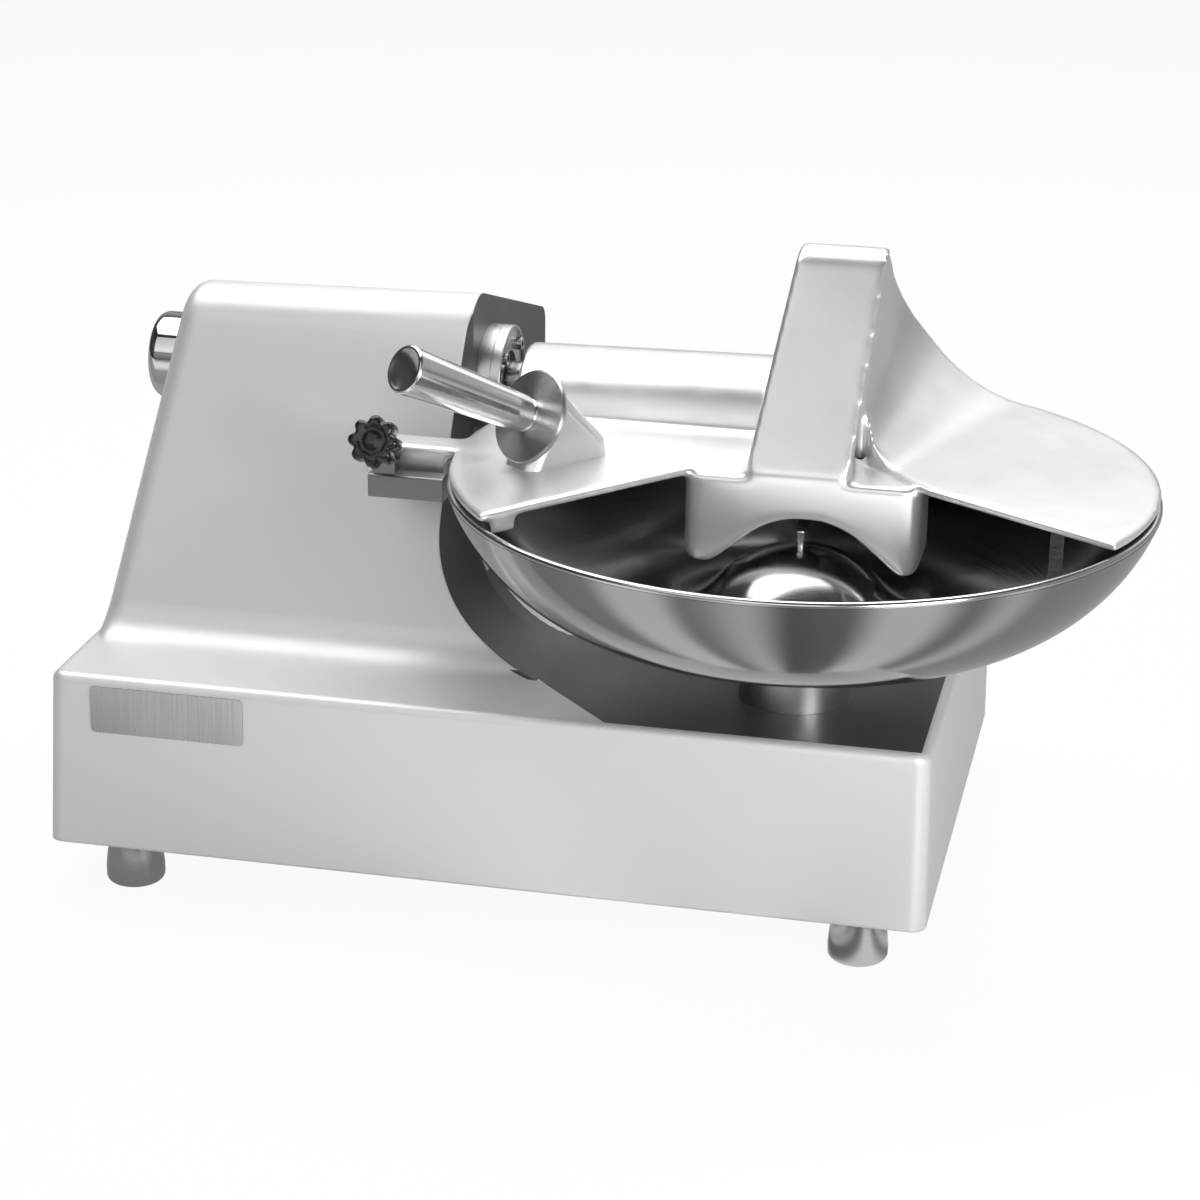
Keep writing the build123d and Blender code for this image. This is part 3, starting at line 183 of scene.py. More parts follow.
floor_mesh = bpy.data.meshes.new("floor")
floor_mesh.from_pydata([(-FLOOR_HALF, -FLOOR_HALF, 0), (FLOOR_HALF, -FLOOR_HALF, 0),
                        (FLOOR_HALF, FLOOR_HALF, 0), (-FLOOR_HALF, FLOOR_HALF, 0)],
                       [], [(0, 1, 2, 3)])
floor = bpy.data.objects.new("floor", floor_mesh)
bpy.context.scene.collection.objects.link(floor)
floor_paint = bpy.data.materials.new("pale_floor")
floor_paint.use_nodes = True
floor_mesh.materials.append(floor_paint)
tree = floor_paint.node_tree
tree.nodes.clear()
matt = add_node(tree, "ShaderNodeBsdfDiffuse")
matt.inputs["Color"].default_value = (FLOOR_PAINT, FLOOR_PAINT, FLOOR_PAINT, 1)
glow = add_node(tree, "ShaderNodeEmission")
rays = add_node(tree, "ShaderNodeLightPath")
seen = rays.outputs["Is Camera Ray"]
for kind in ("Is Glossy Ray", "Is Transmission Ray"):
    either = add_node(tree, "ShaderNodeMath", operation="ADD", use_clamp=True)
    tree.links.new(seen, either.inputs[0])
    tree.links.new(rays.outputs[kind], either.inputs[1])
    seen = either.outputs[0]
lift = add_node(tree, "ShaderNodeMath", operation="MULTIPLY")
lift.inputs[1].default_value = FLOOR_LIFT
blend = add_node(tree, "ShaderNodeMixShader")
floor_out = add_node(tree, "ShaderNodeOutputMaterial")
tree.links.new(seen, lift.inputs[0])
tree.links.new(lift.outputs[0], blend.inputs["Fac"])
tree.links.new(matt.outputs[0], blend.inputs[1])
tree.links.new(glow.outputs[0], blend.inputs[2])
tree.links.new(blend.outputs[0], floor_out.inputs["Surface"])
print("floor", 2 * FLOOR_HALF, "m wide")

# %% [markdown]
# The outside of the bowl and the feet mirror the floor close by.  An even white floor would
# make them flat, so in reflections alone it shows a fan of bright and dark patches round the
# bowl's axis, like the windows and tables of a room.  The angle round that axis, from left
# through front to right, picks the shade.

# %% What the floor shows in reflections
FLOOR_PATCHES = [(0, 0.3), (0.16, 0.35), (0.24, 1), (0.30, 1), (0.36, 0.35), (0.46, 0.8), (0.54, 0.15),
                 (0.62, 0.2), (0.70, 1), (0.76, 1), (0.84, 0.3), (0.92, 0.8), (1, 0.4)]
bowl_low, bowl_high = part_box("bowl")
BOWL_X, BOWL_Y = (bowl_low.x + bowl_high.x) / 2, (bowl_low.y + bowl_high.y) / 2

from_bowl = add_node(tree, "ShaderNodeMapping")
from_bowl.inputs["Location"].default_value = (-BOWL_X, -BOWL_Y, 0)
floor_parts = add_node(tree, "ShaderNodeSeparateXYZ")
bearing = add_node(tree, "ShaderNodeMath", operation="ARCTAN2")
strength = add_node(tree, "ShaderNodeMix")
strength.inputs[2].default_value = 1
tree.links.new(add_node(tree, "ShaderNodeTexCoord").outputs["Object"], from_bowl.inputs[0])
tree.links.new(from_bowl.outputs[0], floor_parts.inputs[0])
tree.links.new(floor_parts.outputs["Y"], bearing.inputs[0])
tree.links.new(floor_parts.outputs["X"], bearing.inputs[1])
front_half = map_range(tree, bearing.outputs[0], -pi, 0)
tree.links.new(rays.outputs["Is Glossy Ray"], strength.inputs[0])
tree.links.new(add_ramp(tree, front_half, FLOOR_PATCHES, "EASE"), strength.inputs[3])
tree.links.new(strength.outputs[0], glow.inputs["Strength"])
print("floor patches:", len(FLOOR_PATCHES))

# %% [markdown]
# Every finish starts from the same few nodes: a Principled shader and the object's own
# coordinates.  Those ride with a piece when it turns, so a brush mark stays on its metal.
# The helpers add what metal and plastic need.  Noise gives cloudy patches, or marks where it
# is stretched.  It then drives the colour, the roughness or a fine relief.

# %% Helpers for finishes
class Finish:
    """A material under construction: its tree, its shader and the piece's own coordinates."""

    def __init__(self, name, colour, metallic, roughness):
        self.material = bpy.data.materials.new(name)
        self.material.use_nodes = True
        self.tree = self.material.node_tree
        self.shader = self.tree.nodes["Principled BSDF"]
        self.shader.inputs["Base Color"].default_value = (*colour, 1)
        self.shader.inputs["Metallic"].default_value = metallic
        self.shader.inputs["Roughness"].default_value = roughness
        self.place = self.node("ShaderNodeTexCoord").outputs["Object"]
        self.height = None

    def node(self, kind, **settings):
        """New node of this material."""
        return add_node(self.tree, kind, **settings)

    def link(self, start, end):
        """Wires an output to an input."""
        self.tree.links.new(start, end)

    def math(self, operation, first, second=None):
        """Result of an operation on numbers or outputs."""
        made = self.node("ShaderNodeMath", operation=operation)
        for socket, value in zip(made.inputs, (first, second)):
            if isinstance(value, (int, float)):
                socket.default_value = value
            elif value is not None:
                self.link(value, socket)
        return made.outputs[0]

    def parts(self, vector):
        """The x, y and z of a vector."""
        made = self.node("ShaderNodeSeparateXYZ")
        self.link(vector, made.inputs[0])
        return made.outputs

    def length(self, across, along):
        """Length of a flat vector from its two parts."""
        return self.math("SQRT", self.math("ADD", self.math("MULTIPLY", across, across),
                                           self.math("MULTIPLY", along, along)))

    def noise(self, scale, detail, stretch=(1, 1, 1), turn=(0, 0, 0), coords=None):
        """Noise with scale features per metre, stretched and turned in the piece's own space."""
        mapping = self.node("ShaderNodeMapping")
        mapping.inputs["Scale"].default_value = stretch
        mapping.inputs["Rotation"].default_value = turn
        texture = self.node("ShaderNodeTexNoise")
        texture.inputs["Scale"].default_value = scale
        texture.inputs["Detail"].default_value = detail
        self.link(coords or self.place, mapping.inputs["Vector"])
        self.link(mapping.outputs[0], texture.inputs["Vector"])
        return texture.outputs["Fac"]

    def spread(self, value, low, high, start=0.3, end=0.7):
        """Maps a noise's middle range onto low to high."""
        mapped = self.node("ShaderNodeMapRange")
        for key, number in (("From Min", start), ("From Max", end), ("To Min", low),
                            ("To Max", high)):
            mapped.inputs[key].default_value = number
        self.link(value, mapped.inputs["Value"])
        return mapped.outputs[0]

    def colours(self, value, dark, light):
        """Colour that runs from dark to light with value."""
        mixed = self.node("ShaderNodeMix", data_type="RGBA")
        mixed.inputs["A"].default_value = (*dark, 1)
        mixed.inputs["B"].default_value = (*light, 1)
        self.link(value, mixed.inputs["Factor"])
        self.link(mixed.outputs["Result"], self.shader.inputs["Base Color"])

    def roughen(self, value):
        """Lets value be the roughness."""
        self.link(value, self.shader.inputs["Roughness"])

    def drift(self, low, high, *cloud):
        """Roughness that drifts from low to high with a cloudy noise."""
        self.roughen(self.spread(self.noise(*cloud), low, high))

    def bump(self, value, depth):
        """Adds relief, depth in metres, on top of any relief already there."""
        made = self.node("ShaderNodeBump")
        made.inputs["Strength"].default_value = 1
        made.inputs["Distance"].default_value = depth
        self.link(value, made.inputs["Height"])
        if self.height:
            self.link(self.height, made.inputs["Normal"])
        self.height = made.outputs[0]
        self.link(self.height, self.shader.inputs["Normal"])


def grey(value):
    """Colour with three equal parts."""
    return (value, value, value)


print("finish helpers ready")

# %% [markdown]
# The body is a casting with a pale satin skin.  Up close such a skin has a fine blasted
# grain, and across a hand's breadth its shine is a little cloudy.

# %% Satin body
satin = Finish("satin_body", grey(0.83), 0.35, 0.36)
satin.drift(0.36, 0.46, 9, 4)
satin.bump(satin.noise(900, 2), 0.00005)
print("satin skin ready")

# %% [markdown]
# The bay under the bowl is the same pale casting, and its near-black colour is painted shade
# for the shade under the bowl.  Its border is the crease of the scooped wall.  A mask worked
# out from the piece's own coordinates says which side of the crease a point is.  The scoop is
# round about the bowl's axis and widens upward from its foot along a fillet.  A point is on its
# wall when it lies within that radius and its face turns inward, or when it lies on the level
# foot of the fillet.

# %% Mask of the scooped wall
BOSS_BELOW_TOP = 32 * MM
BASE_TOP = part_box("spindle_boss")[0].z + BOSS_BELOW_TOP
BASE_X = BOWL_X - 185 * MM
BASE_Y = BOWL_Y + 106 * MM
SCOOP, SCOOP_FILLET = 238 * MM, 85 * MM
CREASE = 0.8 * MM
LOW_BAND, LOW_EXTRA = 40 * MM, 5 * MM
STEEP, LEVEL = -0.33, 0.9
FOOT_RISE = 9 * MM

x, y, z = satin.parts(satin.place)
facing = satin.parts(satin.node("ShaderNodeTexCoord").outputs["Normal"])
from_axis_x = satin.math("SUBTRACT", x, BOWL_X)
from_axis_y = satin.math("SUBTRACT", y, BOWL_Y)
reach = satin.length(from_axis_x, from_axis_y)
below_wall = satin.math("MAXIMUM", satin.math("SUBTRACT", BASE_TOP + SCOOP_FILLET, z), 0.0)
below_wall = satin.math("MINIMUM", below_wall, SCOOP_FILLET)
run = satin.math("SQRT", satin.math("SUBTRACT", SCOOP_FILLET ** 2,
                                    satin.math("MULTIPLY", below_wall, below_wall)))
scoop_reach = satin.math("ADD", run, SCOOP - SCOOP_FILLET + CREASE)
low_down = satin.math("LESS_THAN", z, BASE_TOP + LOW_BAND)
scoop_reach = satin.math("ADD", scoop_reach, satin.math("MULTIPLY", low_down, LOW_EXTRA))
outward = satin.math("ADD", satin.math("MULTIPLY", facing["X"], from_axis_x),
                     satin.math("MULTIPLY", facing["Y"], from_axis_y))
steep_wall = satin.math("LESS_THAN", outward, satin.math("MULTIPLY", reach, STEEP))
level_foot = satin.math("MULTIPLY", satin.math("GREATER_THAN", facing["Z"], LEVEL),
                        satin.math("LESS_THAN", z, BASE_TOP + FOOT_RISE))
inward_face = satin.math("MAXIMUM", steep_wall, level_foot)
inside_scoop = satin.math("MULTIPLY", satin.math("LESS_THAN", reach, scoop_reach), inward_face)
print("body top of base at", round(BASE_TOP / MM, 1), "mm")

# %% [markdown]
# The housing's right end is dark too.  It is flat, so its x and the way it faces find it.

# %% Mask of the housing's end
HOUSING_END, END_SLACK = BASE_X - 42 * MM, 0.7 * MM
END_FACING = 0.6
TOP_SLACK = 0.6 * MM

at_end = satin.math("COMPARE", x, HOUSING_END)
at_end.node.inputs[2].default_value = END_SLACK
end_face = satin.math("MULTIPLY", at_end, satin.math("GREATER_THAN", facing["X"], END_FACING))
on_top = satin.math("LESS_THAN", z, BASE_TOP + TOP_SLACK)
wall_part = satin.math("MULTIPLY", satin.math("SUBTRACT", 1.0, on_top),
                       satin.math("MAXIMUM", inside_scoop, end_face))
print("housing ends at", round(HOUSING_END / MM, 1), "mm")

# %% [markdown]
# On top of the base the bay ends at a slanting line in front.  Behind that line it reaches
# back under the bowl, and at the right end and at the front it stops short of the edge.

# %% Mask on top of the base
(NEAR_X, NEAR_Y), (FAR_X, FAR_Y) = (24 * MM, -123 * MM), (79 * MM, -182 * MM)
BAY_RIGHT = 274 * MM
FOOT_MARGIN = 12 * MM
BELOW_TOP = 0.4 * MM

slope = (FAR_X - NEAR_X) / (NEAR_Y - FAR_Y)
past_line = satin.math("GREATER_THAN", x, satin.math(
    "SUBTRACT", BASE_X + NEAR_X + slope * (BASE_Y + NEAR_Y), satin.math("MULTIPLY", y, slope)))
behind_line = satin.math("GREATER_THAN", y, BASE_Y + NEAR_Y)
near_axis = satin.math("LESS_THAN", reach, SCOOP - SCOOP_FILLET + FOOT_MARGIN)
past_foot = satin.math("GREATER_THAN", x, BASE_X + NEAR_X)
deep_part = satin.math("MULTIPLY", behind_line, satin.math("MAXIMUM", near_axis, past_foot))
front_part = satin.math("MULTIPLY", past_line, satin.math("SUBTRACT", 1.0, behind_line))
floor_part = satin.math("MULTIPLY", on_top, satin.math("MAXIMUM", front_part, deep_part))
above_top = satin.math("GREATER_THAN", z, BASE_TOP - BELOW_TOP)
inner_y = satin.math("GREATER_THAN", y, BASE_Y + FAR_Y)
inner_x = satin.math("LESS_THAN", x, BASE_X + BAY_RIGHT)
bay_painted_shade = satin.math("MULTIPLY", satin.math("ADD", floor_part, wall_part), above_top)
bay_painted_shade = satin.math("MULTIPLY", bay_painted_shade, satin.math("MULTIPLY", inner_y, inner_x))
# The pale grey is the satin's own colour; the near black of the bay is painted shade.
satin.colours(bay_painted_shade, grey(0.76), grey(0.09))
print("bay in darker satin")

# %% [markdown]
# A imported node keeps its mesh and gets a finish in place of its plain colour.  Cast edges are
# never razor sharp, and the Bevel node rounds them in the shading alone, without new faces.

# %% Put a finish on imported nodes
def soften(finish, radius):
    """Rounds the look of every edge by radius, in metres, under the finish's relief."""
    edge = finish.node("ShaderNodeBevel", samples=4)
    edge.inputs["Radius"].default_value = radius
    first = [n for n in finish.tree.nodes if n.bl_idname == "ShaderNodeBump"
             and not n.inputs["Normal"].is_linked]
    target = first[0].inputs["Normal"] if first else finish.shader.inputs["Normal"]
    finish.link(edge.outputs[0], target)


def dress(nodes, finish):
    """Gives CAD nodes a finish in place of their plain colour."""
    for name in nodes:
        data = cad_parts[name].data
        data.materials.clear()
        data.materials.append(finish.material)


soften(satin, 2.5 * MM)
dress(["body_shell", "hinge_posts"], satin)
print("satin on the body")

# %% [markdown]
# The cover is one aluminium casting, ground smooth and polished by hand.  Such a surface is
# bright but never a mirror: it has cloudy patches where the wheel dwelt, and it is a little
# wavy.

# %% Hand-polished casting
cast = Finish("polished_cast", grey(0.80), 0.72, 0.3)
cast.colours(cast.spread(cast.noise(11, 4), 0, 1, 0.35, 0.65), grey(0.74), grey(0.84))
cast.drift(0.285, 0.34, 60, 2)
cast.bump(cast.noise(14, 1), 0.00035)
dress(["cover", "handle_block"], cast)
print("polished casting on the cover")

# %% [markdown]
# A casting has no sharp edge or corner anywhere.  A voxel remesh melts the cover's solid into
# one even skin, and rounds of smoothing then round every edge and run every face into the
# next, as the foundry's pattern and the polishing wheel do.  Both are modifiers, so the
# solid's own mesh stays as it is.

# %% Round the casting
SKIN_STEP, ROUNDS = 1.5 * MM, 30

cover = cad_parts["cover"]
skin = cover.modifiers.new("even skin", "REMESH")
skin.mode = "VOXEL"
skin.voxel_size = SKIN_STEP
skin.use_smooth_shade = True
rounder = cover.modifiers.new("rounding", "SMOOTH")
rounder.factor = 0.5
rounder.iterations = ROUNDS
print("cover has a", round(SKIN_STEP / MM, 1), "mm skin, smoothed", ROUNDS, "times")

# %% [markdown]
# The bearing housing and the boss under the bowl were turned after casting.  They are duller
# than the cover, and their edges are softened in the shading alone.

# %% Turned castings
turned_cast = Finish("turned_casting", grey(0.62), 1.0, 0.3)
turned_cast.drift(0.285, 0.37, 40, 4)
soften(turned_cast, 1 * MM)
dress(["bearing_housing", "bearing_retainer", "spindle_boss"], turned_cast)
print("turned castings ready")

# %% [markdown]
# Turned and spun metal has fine rings round its axis.  They stretch every highlight across
# the rings, which gives the bright wedges on a lid or a disc.  The shader's anisotropy does
# that when its tangent runs round the same axis, so each turned piece is made about its own
# Z and then stood in place.

# %% Ring marks
RING_DRIFT = 0.004


def ring_finish(name, colour, roughness, marks_per_metre, depth, stretch):
    """Metal turned about its local Z, with fine rings that wander a little round it."""
    made = Finish(name, colour, 1.0, roughness)
    px, py, pz = made.parts(made.place)
    around = made.math("MULTIPLY", made.math("ARCTAN2", py, px), RING_DRIFT)
    joined = made.node("ShaderNodeCombineXYZ")
    for socket, value in zip(joined.inputs, (made.length(px, py), around, pz)):
        made.link(value, socket)
    rings = made.noise(marks_per_metre, 3, coords=joined.outputs[0])
    made.roughen(made.math("ADD", made.spread(made.noise(25, 3), roughness * 0.8, roughness),
                           made.spread(rings, 0, roughness * 0.4)))
    made.bump(rings, depth)
    made.shader.inputs["Anisotropic"].default_value = stretch
    made.shader.inputs["Anisotropic Rotation"].default_value = 0.25
    tangent = made.node("ShaderNodeTangent", direction_type="RADIAL", axis="Z")
    made.link(tangent.outputs[0], made.shader.inputs["Tangent"])
    return made


bowl_steel = ring_finish("spun_bowl_steel", grey(0.60), 0.16, 900, 0.000006, 0.5)
# The outside is a darker copy of the bowl's steel; the darkening is painted shade.
bowl_outside_shaded = ring_finish("bowl_steel_painted_shade", grey(0.36), 0.10, 900, 0.000005, 0.5)
bar_steel = ring_finish("polished_bar_steel", grey(0.85), 0.16, 700, 0.000008, 0.4)
disc_steel = ring_finish("turned_disc_steel", grey(0.55), 0.36, 1400, 0.00002, 0.75)
foot_steel = ring_finish("turned_foot_steel", grey(0.50), 0.18, 1200, 0.00001, 0.6)
cap_chrome = ring_finish("bright_chrome", grey(0.66), 0.06, 500, 0.000003, 0.3)
print("turned finishes ready")

# %% [markdown]
# A turned piece is a profile swept once round its axis.  The profile is a list of points,
# radius and height, and round stretches come from arcs, so the code reads like a lathe
# drawing.

# %% Lathe
CREASE_ANGLE = 38


def arc(centre, radius, start, end, steps=12):
    """Points of an arc, angles in degrees."""
    return [(centre[0] + radius * cos(radians(start + (end - start) * i / steps)),
             centre[1] + radius * sin(radians(start + (end - start) * i / steps)))
            for i in range(steps + 1)]


def stand(origin, axis=(0, 0, 1)):
    """Matrix that puts a piece's local Z on axis at origin."""
    turn = Vector(axis).normalized().to_track_quat("Z", "Y").to_matrix().to_4x4()
    return Matrix.Translation(Vector(origin)) @ turn


def new_piece(name, shape, finishes, crease=CREASE_ANGLE):
    """Object from a bmesh, smooth but for edges that turn by more than crease degrees."""
    bmesh.ops.recalc_face_normals(shape, faces=shape.faces)
    mesh = bpy.data.meshes.new(name)
    shape.to_mesh(mesh)
    shape.free()
    mesh.shade_smooth()
    mesh.set_sharp_from_angle(angle=radians(crease))
    for finish in finishes:
        mesh.materials.append(finish.material)
    piece = bpy.data.objects.new(name, mesh)
    bpy.context.scene.collection.objects.link(piece)
    return piece


def lathe(name, outline, place, finishes, turns=128, closed=False, back_from=None):
    """Sweeps an outline of (radius, height), in metres, round the local Z of place.

    Rings from back_from on get the second finish, for a sheet whose sides differ.
    """
    shape = bmesh.new()
    rings = []
    for radius, height in outline:
        if radius < 1e-7:
            rings.append([shape.verts.new((0, 0, height))] * turns)
            continue
        rings.append([shape.verts.new((radius * cos(2 * pi * t / turns),
                                       radius * sin(2 * pi * t / turns), height))
                      for t in range(turns)])
    pairs = list(zip(rings, rings[1:])) + ([(rings[-1], rings[0])] if closed else [])
    for number, (low, high) in enumerate(pairs):
        side_of_sheet = int(back_from is not None and number >= back_from)
        for t in range(turns):
            corners = [low[t], low[(t + 1) % turns], high[(t + 1) % turns], high[t]]
            kept = list(dict.fromkeys(corners))
            if len(kept) > 2:
                shape.faces.new(kept).material_index = side_of_sheet
    piece = new_piece(name, shape, finishes)
    piece.matrix_world = place
    return piece


def settle(piece, body, node):
    """Rides a piece on its body in place of its node, and hides the node."""
    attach(piece, body)
    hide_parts(node)
    print(piece.name, "rides", body, "and stands for", node)


def middle(node):
    """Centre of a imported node's box."""
    low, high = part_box(node)
    return (low + high) / 2


print("lathe ready")

# %% [markdown]
# The bowl is spun from one sheet.  Its section is four arcs: the dome over the hub, the
# hollow of the floor, the wall that opens outward, and the rolled bead of the rim.  Each arc
# is tangent to the next, which is what lets the highlights run through without a kink.  Each
# side of the sheet has its own steel: the outside's is smoother, and its darker colour is
# painted shade, for the shade under the bowl that the outside mirrors.

# %% Bowl
SHEET = 2.5 * MM
BEAD = 2.4 * MM
BEAD_START, BEAD_END = 215, -80
RIM_RADIUS = 218 * MM
RIM = bowl_high.z - 1.4 * MM
DOME, DOME_RADIUS = (0, RIM - 110.7 * MM), 70 * MM
WALL, WALL_RADIUS = (100 * MM, RIM + 39.3 * MM), 122.5 * MM
FLOOR_RADIUS = 60 * MM
STUD_HOLE = 3.2 * MM


def floor_centre():
    """Centre of the floor's arc, tangent to the dome and to the wall."""
    to_dome, to_wall = DOME_RADIUS + FLOOR_RADIUS, WALL_RADIUS - FLOOR_RADIUS
    dx, dz = WALL[0] - DOME[0], WALL[1] - DOME[1]
    apart = hypot(dx, dz)
    along = (to_dome ** 2 - to_wall ** 2 + apart ** 2) / (2 * apart)
    aside = sqrt(to_dome ** 2 - along ** 2)
    return (DOME[0] + (along * dx + aside * dz) / apart,
            DOME[1] + (along * dz - aside * dx) / apart)


HOLLOW = floor_centre()
dome_to = degrees(atan2(HOLLOW[1] - DOME[1], HOLLOW[0] - DOME[0]))
wall_from = degrees(atan2(HOLLOW[1] - WALL[1], HOLLOW[0] - WALL[0]))


def bowl_side(sheet, steps):
    """One face of the sheet from the middle to the rim; sheet 0 is the inside."""
    dome = DOME_RADIUS - sheet
    hole = degrees(asin(STUD_HOLE / dome))
    wall = WALL_RADIUS + sheet
    rim = degrees(asin((RIM - 2 * MM - WALL[1]) / wall))
    return (arc(DOME, dome, 90 - hole, dome_to, steps)
            + arc(HOLLOW, FLOOR_RADIUS + sheet, 180 + dome_to, 360 + wall_from, steps)[1:]
            + arc(WALL, wall, wall_from, rim, steps)[1:])


bead = arc((RIM_RADIUS - BEAD, RIM - 1 * MM), BEAD, BEAD_START, BEAD_END, 20)
inner = bowl_side(0, 32)
section = inner + bead + bowl_side(SHEET, 32)[::-1]
bowl = lathe("bowl_dish", section, stand((BOWL_X, BOWL_Y, 0)), [bowl_steel, bowl_outside_shaded], 256,
             closed=True, back_from=len(inner) + len(bead) - 1)
settle(bowl, "bowl_set", "bowl")

# %% [markdown]
# Behind the knives the hood is closed by a web that follows their circle.  It lies a little
# under the casting's skin, so the two read as one wall.

# %% Web at the back of the hood
SHAFT_Y, SHAFT_Z = middle("knife_shaft").yz
WEB_OUT, WEB_IN, WEB_RISE = 100.7 * MM, 97.2 * MM, 26
WEB_LEFT, WEB_RIGHT = BASE_X + 186 * MM, BASE_X + 207 * MM
WEB_FOOT = RIM + 8.5 * MM

web_outline = ([(WEB_IN, WEB_FOOT - SHAFT_Z), (WEB_OUT, WEB_FOOT - SHAFT_Z)]
               + arc((0, 0), WEB_OUT, 0, WEB_RISE, 16) + arc((0, 0), WEB_IN, WEB_RISE, 0, 16))
web_shape = bmesh.new()
web_sides = [[web_shape.verts.new((x_side, SHAFT_Y + across, SHAFT_Z + height))
              for across, height in web_outline] for x_side in (WEB_LEFT, WEB_RIGHT)]
for t in range(len(web_outline)):
    after = (t + 1) % len(web_outline)
    web_shape.faces.new((web_sides[0][t], web_sides[0][after], web_sides[1][after],
                         web_sides[1][t]))
web_shape.faces.new(web_sides[0][::-1])
web_shape.faces.new(web_sides[1])
web = new_piece("hood_back_web", web_shape, [cast])
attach(web, "cover_set")
print("web spans", round((WEB_RIGHT - WEB_LEFT) / MM, 1), "mm")

# %% [markdown]
# The four feet are turned domes.  They are widest low down, round under at the bottom, and
# pull in to a neck under the base.

# %% Feet
foot_low, foot_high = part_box("feet")
FOOT_RADIUS, FOOT_NECK, FOOT_ROUND = 19 * MM, 15 * MM, 4.5 * MM

foot_outline = ([(0, 0), (FOOT_RADIUS - 5 * MM, 0)]
                + arc((FOOT_RADIUS - FOOT_ROUND, FOOT_ROUND), FOOT_ROUND, -90, 0, 8)
                + [(FOOT_RADIUS, 10 * MM), (FOOT_RADIUS - 0.4 * MM, 15 * MM),
                   (FOOT_RADIUS - 1.2 * MM, 21 * MM), (FOOT_RADIUS - 2.6 * MM, 28 * MM),
                   (FOOT_NECK - 0.4 * MM, foot_high.z), (0, foot_high.z)])
foot_places = [(across, deep)
               for across in (foot_low.x + FOOT_RADIUS, foot_high.x - FOOT_RADIUS)
               for deep in (foot_low.y + FOOT_RADIUS, foot_high.y - FOOT_RADIUS)]
for number, (across, deep) in enumerate(foot_places, start=1):
    foot = lathe(f"foot_{number}", foot_outline, stand((across, deep, 0)), [foot_steel], 64)
    settle(foot, "machine", "feet")

# %% [markdown]
# The handle is a solid bar with a shallow taper.  It grows towards the hand, its end is
# chamfered, and a short neck seats it on the round guard.

# %% Handle and guard
HANDLE_AXIS = Vector((-0.554, -0.707, 0.438)).normalized()
HANDLE_LENGTH = 104 * MM
DISC_SHEET, DISC_RADIUS, DISC_ROUND = 4 * MM, 29.5 * MM, 1.6 * MM

handle_place = stand(middle("guard_disc") + HANDLE_AXIS * DISC_SHEET / 2, HANDLE_AXIS)
bar_outline = ([(0, 0), (10.5 * MM, 0), (10.5 * MM, 3 * MM), (9.6 * MM, 3.6 * MM),
                (9.6 * MM, 5 * MM)]
               + arc((9.5 * MM, 7.5 * MM), 2.2 * MM, -90, 0, 6)
               + [(12.2 * MM, 20 * MM), (13.2 * MM, 50 * MM), (14.2 * MM, 80 * MM)]
               + [(15 * MM, HANDLE_LENGTH - 2 * MM)]
               + arc((13.4 * MM, HANDLE_LENGTH - 1.6 * MM), 1.6 * MM, 0, 90, 6)
               + [(12.6 * MM, HANDLE_LENGTH), (12.2 * MM, HANDLE_LENGTH - 0.3 * MM),
                  (0, HANDLE_LENGTH - 0.5 * MM)])
bar = lathe("handle_grip", bar_outline, handle_place, [bar_steel], 96)
settle(bar, "cover_set", "handle_bar")
disc_outline = ([(0, -DISC_SHEET)]
                + arc((DISC_RADIUS - DISC_ROUND, -DISC_SHEET / 2 - 0.4 * MM), DISC_ROUND, -90, 0, 6)
                + arc((DISC_RADIUS - DISC_ROUND, -DISC_ROUND), DISC_ROUND, 0, 90, 6)
                + [(0, 0)])
disc = lathe("hand_guard", disc_outline, handle_place, [disc_steel])
settle(disc, "cover_set", "guard_disc")

# %% [markdown]
# The clamp knob is moulded black plastic with eight rounded lobes.  Its rim is a circle whose
# radius swells and shrinks eight times, and the swelling fades out towards the middle of the
# face.

# %% Star knob
SCREW_AXIS = Vector((0, -0.9, 0.436)).normalized()
KNOB_DEEP, KNOB_OUT, KNOB_IN = 15 * MM, 16.2 * MM, 12.8 * MM
LOBES, LOBE_SHARPNESS, KNOB_TURNS = 8, 1.6, 160
# Each ring: its share of the radius, its share of the depth, and how much the lobes show.
KNOB_RINGS = [(0.0, 0, 1.0), (0.55, 0, 0.6), (0.86, 0.0, 1), (0.97, 0.08, 1), (1.0, 0.2, 1),
              (1.0, 0.72, 1), (0.97, 0.86, 1), (0.9, 0.95, 1), (0.8, 0.99, 0.9), (0.68, 1.0, 0.6),
              (0.56, 0.97, 0.2), (0.44, 0.93, 0), (0.38, 0.94, 0), (0.3, 0.98, 0), (0.0, 1.0, 0)]
SMOOTH_ALL_OVER = 180

knob_finish = Finish("black_phenolic", grey(0.012), 0.0, 0.12)
knob_finish.drift(0.08, 0.2, 90, 3)
knob_finish.bump(knob_finish.noise(500, 2), 0.00002)
knob_shape = bmesh.new()
loops = []
for width, rise, lobed in KNOB_RINGS:
    loop = []
    for t in range(KNOB_TURNS):
        angle = 2 * pi * t / KNOB_TURNS
        dip = (0.5 - 0.5 * cos(LOBES * angle)) ** LOBE_SHARPNESS * lobed
        radius = width * (KNOB_OUT - (KNOB_OUT - KNOB_IN) * dip)
        loop.append(knob_shape.verts.new((radius * cos(angle), radius * sin(angle),
                                          rise * KNOB_DEEP)))
    loops.append(loop)
for low, high in zip(loops, loops[1:]):
    for t in range(KNOB_TURNS):
        knob_shape.faces.new((low[t], low[(t + 1) % KNOB_TURNS],
                              high[(t + 1) % KNOB_TURNS], high[t]))
bmesh.ops.remove_doubles(knob_shape, verts=knob_shape.verts, dist=1e-6)
knob = new_piece("clamp_knob", knob_shape, [knob_finish], SMOOTH_ALL_OVER)
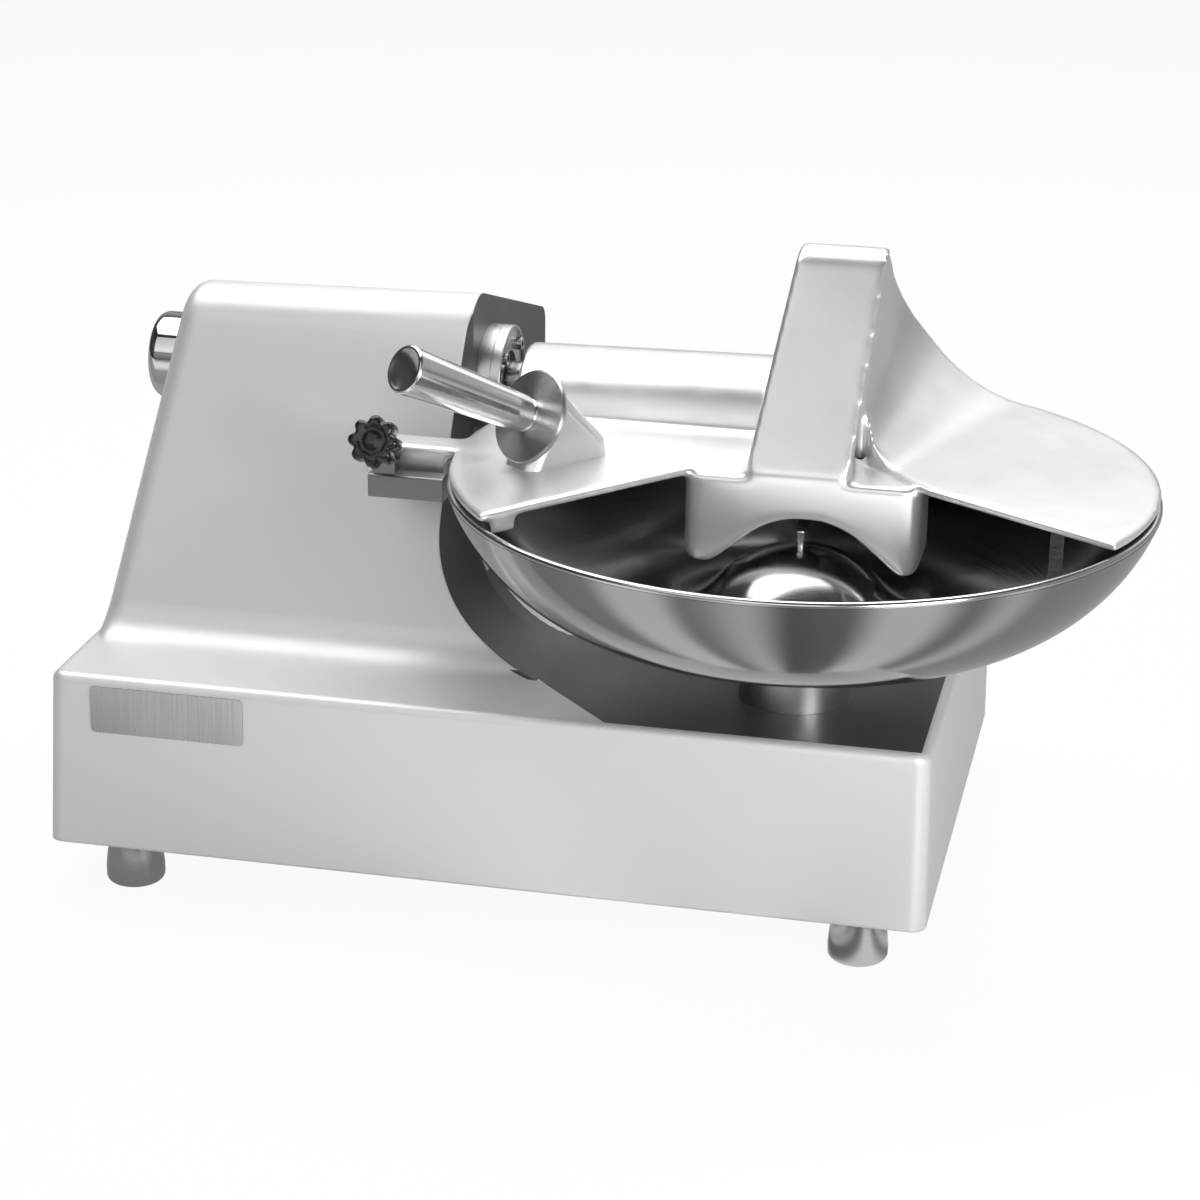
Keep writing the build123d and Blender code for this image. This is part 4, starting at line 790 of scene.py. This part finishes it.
knob.matrix_world = stand(middle("star_knob") - SCREW_AXIS * KNOB_DEEP / 2, SCREW_AXIS)
settle(knob, "clamp", "star_knob")

# %% [markdown]
# The bearing cap on the left is a bright turned plug with a generously rounded edge and a
# shallow round dish in its face.

# %% Bearing cap
cap_low, cap_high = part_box("bearing_cap_left")
CAP_RADIUS, CAP_ROUND = 29 * MM, 7 * MM
DISH_RADIUS, DISH_DEPTH = 16 * MM, 3 * MM

cap_length = cap_high.x - cap_low.x
cap_middle = middle("bearing_cap_left")
cap_place = stand((cap_high.x, cap_middle.y, cap_middle.z), (-1, 0, 0))
cap_outline = ([(0, 0), (CAP_RADIUS, 0)]
               + arc((CAP_RADIUS - CAP_ROUND, cap_length - CAP_ROUND), CAP_ROUND, 0, 90, 12)
               + [(DISH_RADIUS + 0.6 * MM, cap_length), (DISH_RADIUS, cap_length - 0.8 * MM),
                  (DISH_RADIUS, cap_length - DISH_DEPTH), (0, cap_length - DISH_DEPTH)])
cap = lathe("shaft_cap", cap_outline, cap_place, [cap_chrome])
settle(cap, "machine", "bearing_cap_left")

# %% [markdown]
# The blank plate on the front is thin stainless, brushed up and down.  It isn't quite flat,
# so its reflections drift from light to dark across it.

# %% Front plate
plate_steel = Finish("brushed_plate_steel", grey(0.50), 1.0, 0.24)
upright = plate_steel.noise(700, 3, (1, 1, 0.02))
plate_steel.roughen(plate_steel.spread(upright, 0.18, 0.34))
plate_steel.bump(plate_steel.noise(18, 1, (1, 1, 0.7), (0, radians(30), 0)), 0.0012)
plate_steel.bump(upright, 0.00002)
dress(["name_plate"], plate_steel)
print("front plate brushed")

# %% [markdown]
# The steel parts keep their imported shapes.  The bracket is satin, the shafts and screws are
# machined, with marks drawn out along the shafts, and the knives and sheets are ground.

# %% Plain steels
bracket = Finish("satin_bracket", grey(0.24), 1.0, 0.36)
bracket.drift(0.30, 0.42, 70, 4)
bracket.bump(bracket.noise(400, 3), 0.00003)
soften(bracket, 0.8 * MM)
dress(["latch_bracket"], bracket)

machined = Finish("machined_steel", grey(0.45), 1.0, 0.26)
machined.drift(0.2, 0.34, 200, 3, (1, 8, 8))
dress(["clamp_screw", "knife_shaft", "bearing_screws", "rear_bearing", "front_bearing",
       "bottom_screws", "rotor_shaft", "worm_shaft", "worm_bearings", "spindle_bearings",
       "bowl_spindle", "hub_stud", "hinge_pin", "knife_nut", "knife_collars"], machined)

blade = Finish("ground_blade_steel", grey(0.60), 1.0, 0.18)
blade.drift(0.12, 0.26, 260, 3, (1, 1, 12))
dress(["front_knife", "back_knife", "bowl_scraper", "bottom_plate", "switch_plate",
       "bowl_hub"], blade)
print("steels ready")

# %% [markdown]
# The drive inside is painted iron, with a bronze worm wheel and rubber belts.  It shows only
# where a viewer takes the body off, and it still gets real materials.

# %% Iron, bronze and rubber
iron = Finish("painted_iron", grey(0.06), 0.0, 0.5)
iron.drift(0.4, 0.6, 120, 3)
iron.bump(iron.noise(600, 3), 0.00008)
dress(["motor_casing", "motor_cradle", "motor_pulleys", "shaft_pulley", "worm_pulley",
       "gearbox_case"], iron)

bronze = Finish("machined_bronze", (0.50, 0.33, 0.14), 1.0, 0.28)
bronze.drift(0.22, 0.36, 150, 3)
dress(["worm_wheel"], bronze)

rubber = Finish("belt_rubber", grey(0.02), 0.0, 0.6)
rubber.drift(0.5, 0.7, 300, 3)
rubber.bump(rubber.noise(900, 2), 0.00005)
dress(["knife_belt", "worm_belt", "shaft_seal"], rubber)
print("drive materials ready")

# %% [markdown]
# The moulded parts share one fine texture and differ in colour.  The two buttons are glossier
# than the rest, green for start and red for stop.

# %% Plastics
for name, shade, nodes in (("moulded_black", 0.03, ["fan_cover", "motor_fan"]),
                           ("moulded_grey", 0.10, ["cable_gland"])):
    moulded = Finish(name, grey(shade), 0.0, 0.4)
    moulded.drift(0.34, 0.46, 400, 2)
    moulded.bump(moulded.noise(1200, 2), 0.00003)
    dress(nodes, moulded)

for node, tint in (("start_button", (0.02, 0.30, 0.06)), ("stop_button", (0.52, 0.015, 0.012))):
    button = Finish(node + "_plastic", tint, 0.0, 0.22)
    button.drift(0.18, 0.28, 300, 2)
    dress([node], button)
print("plastics ready")
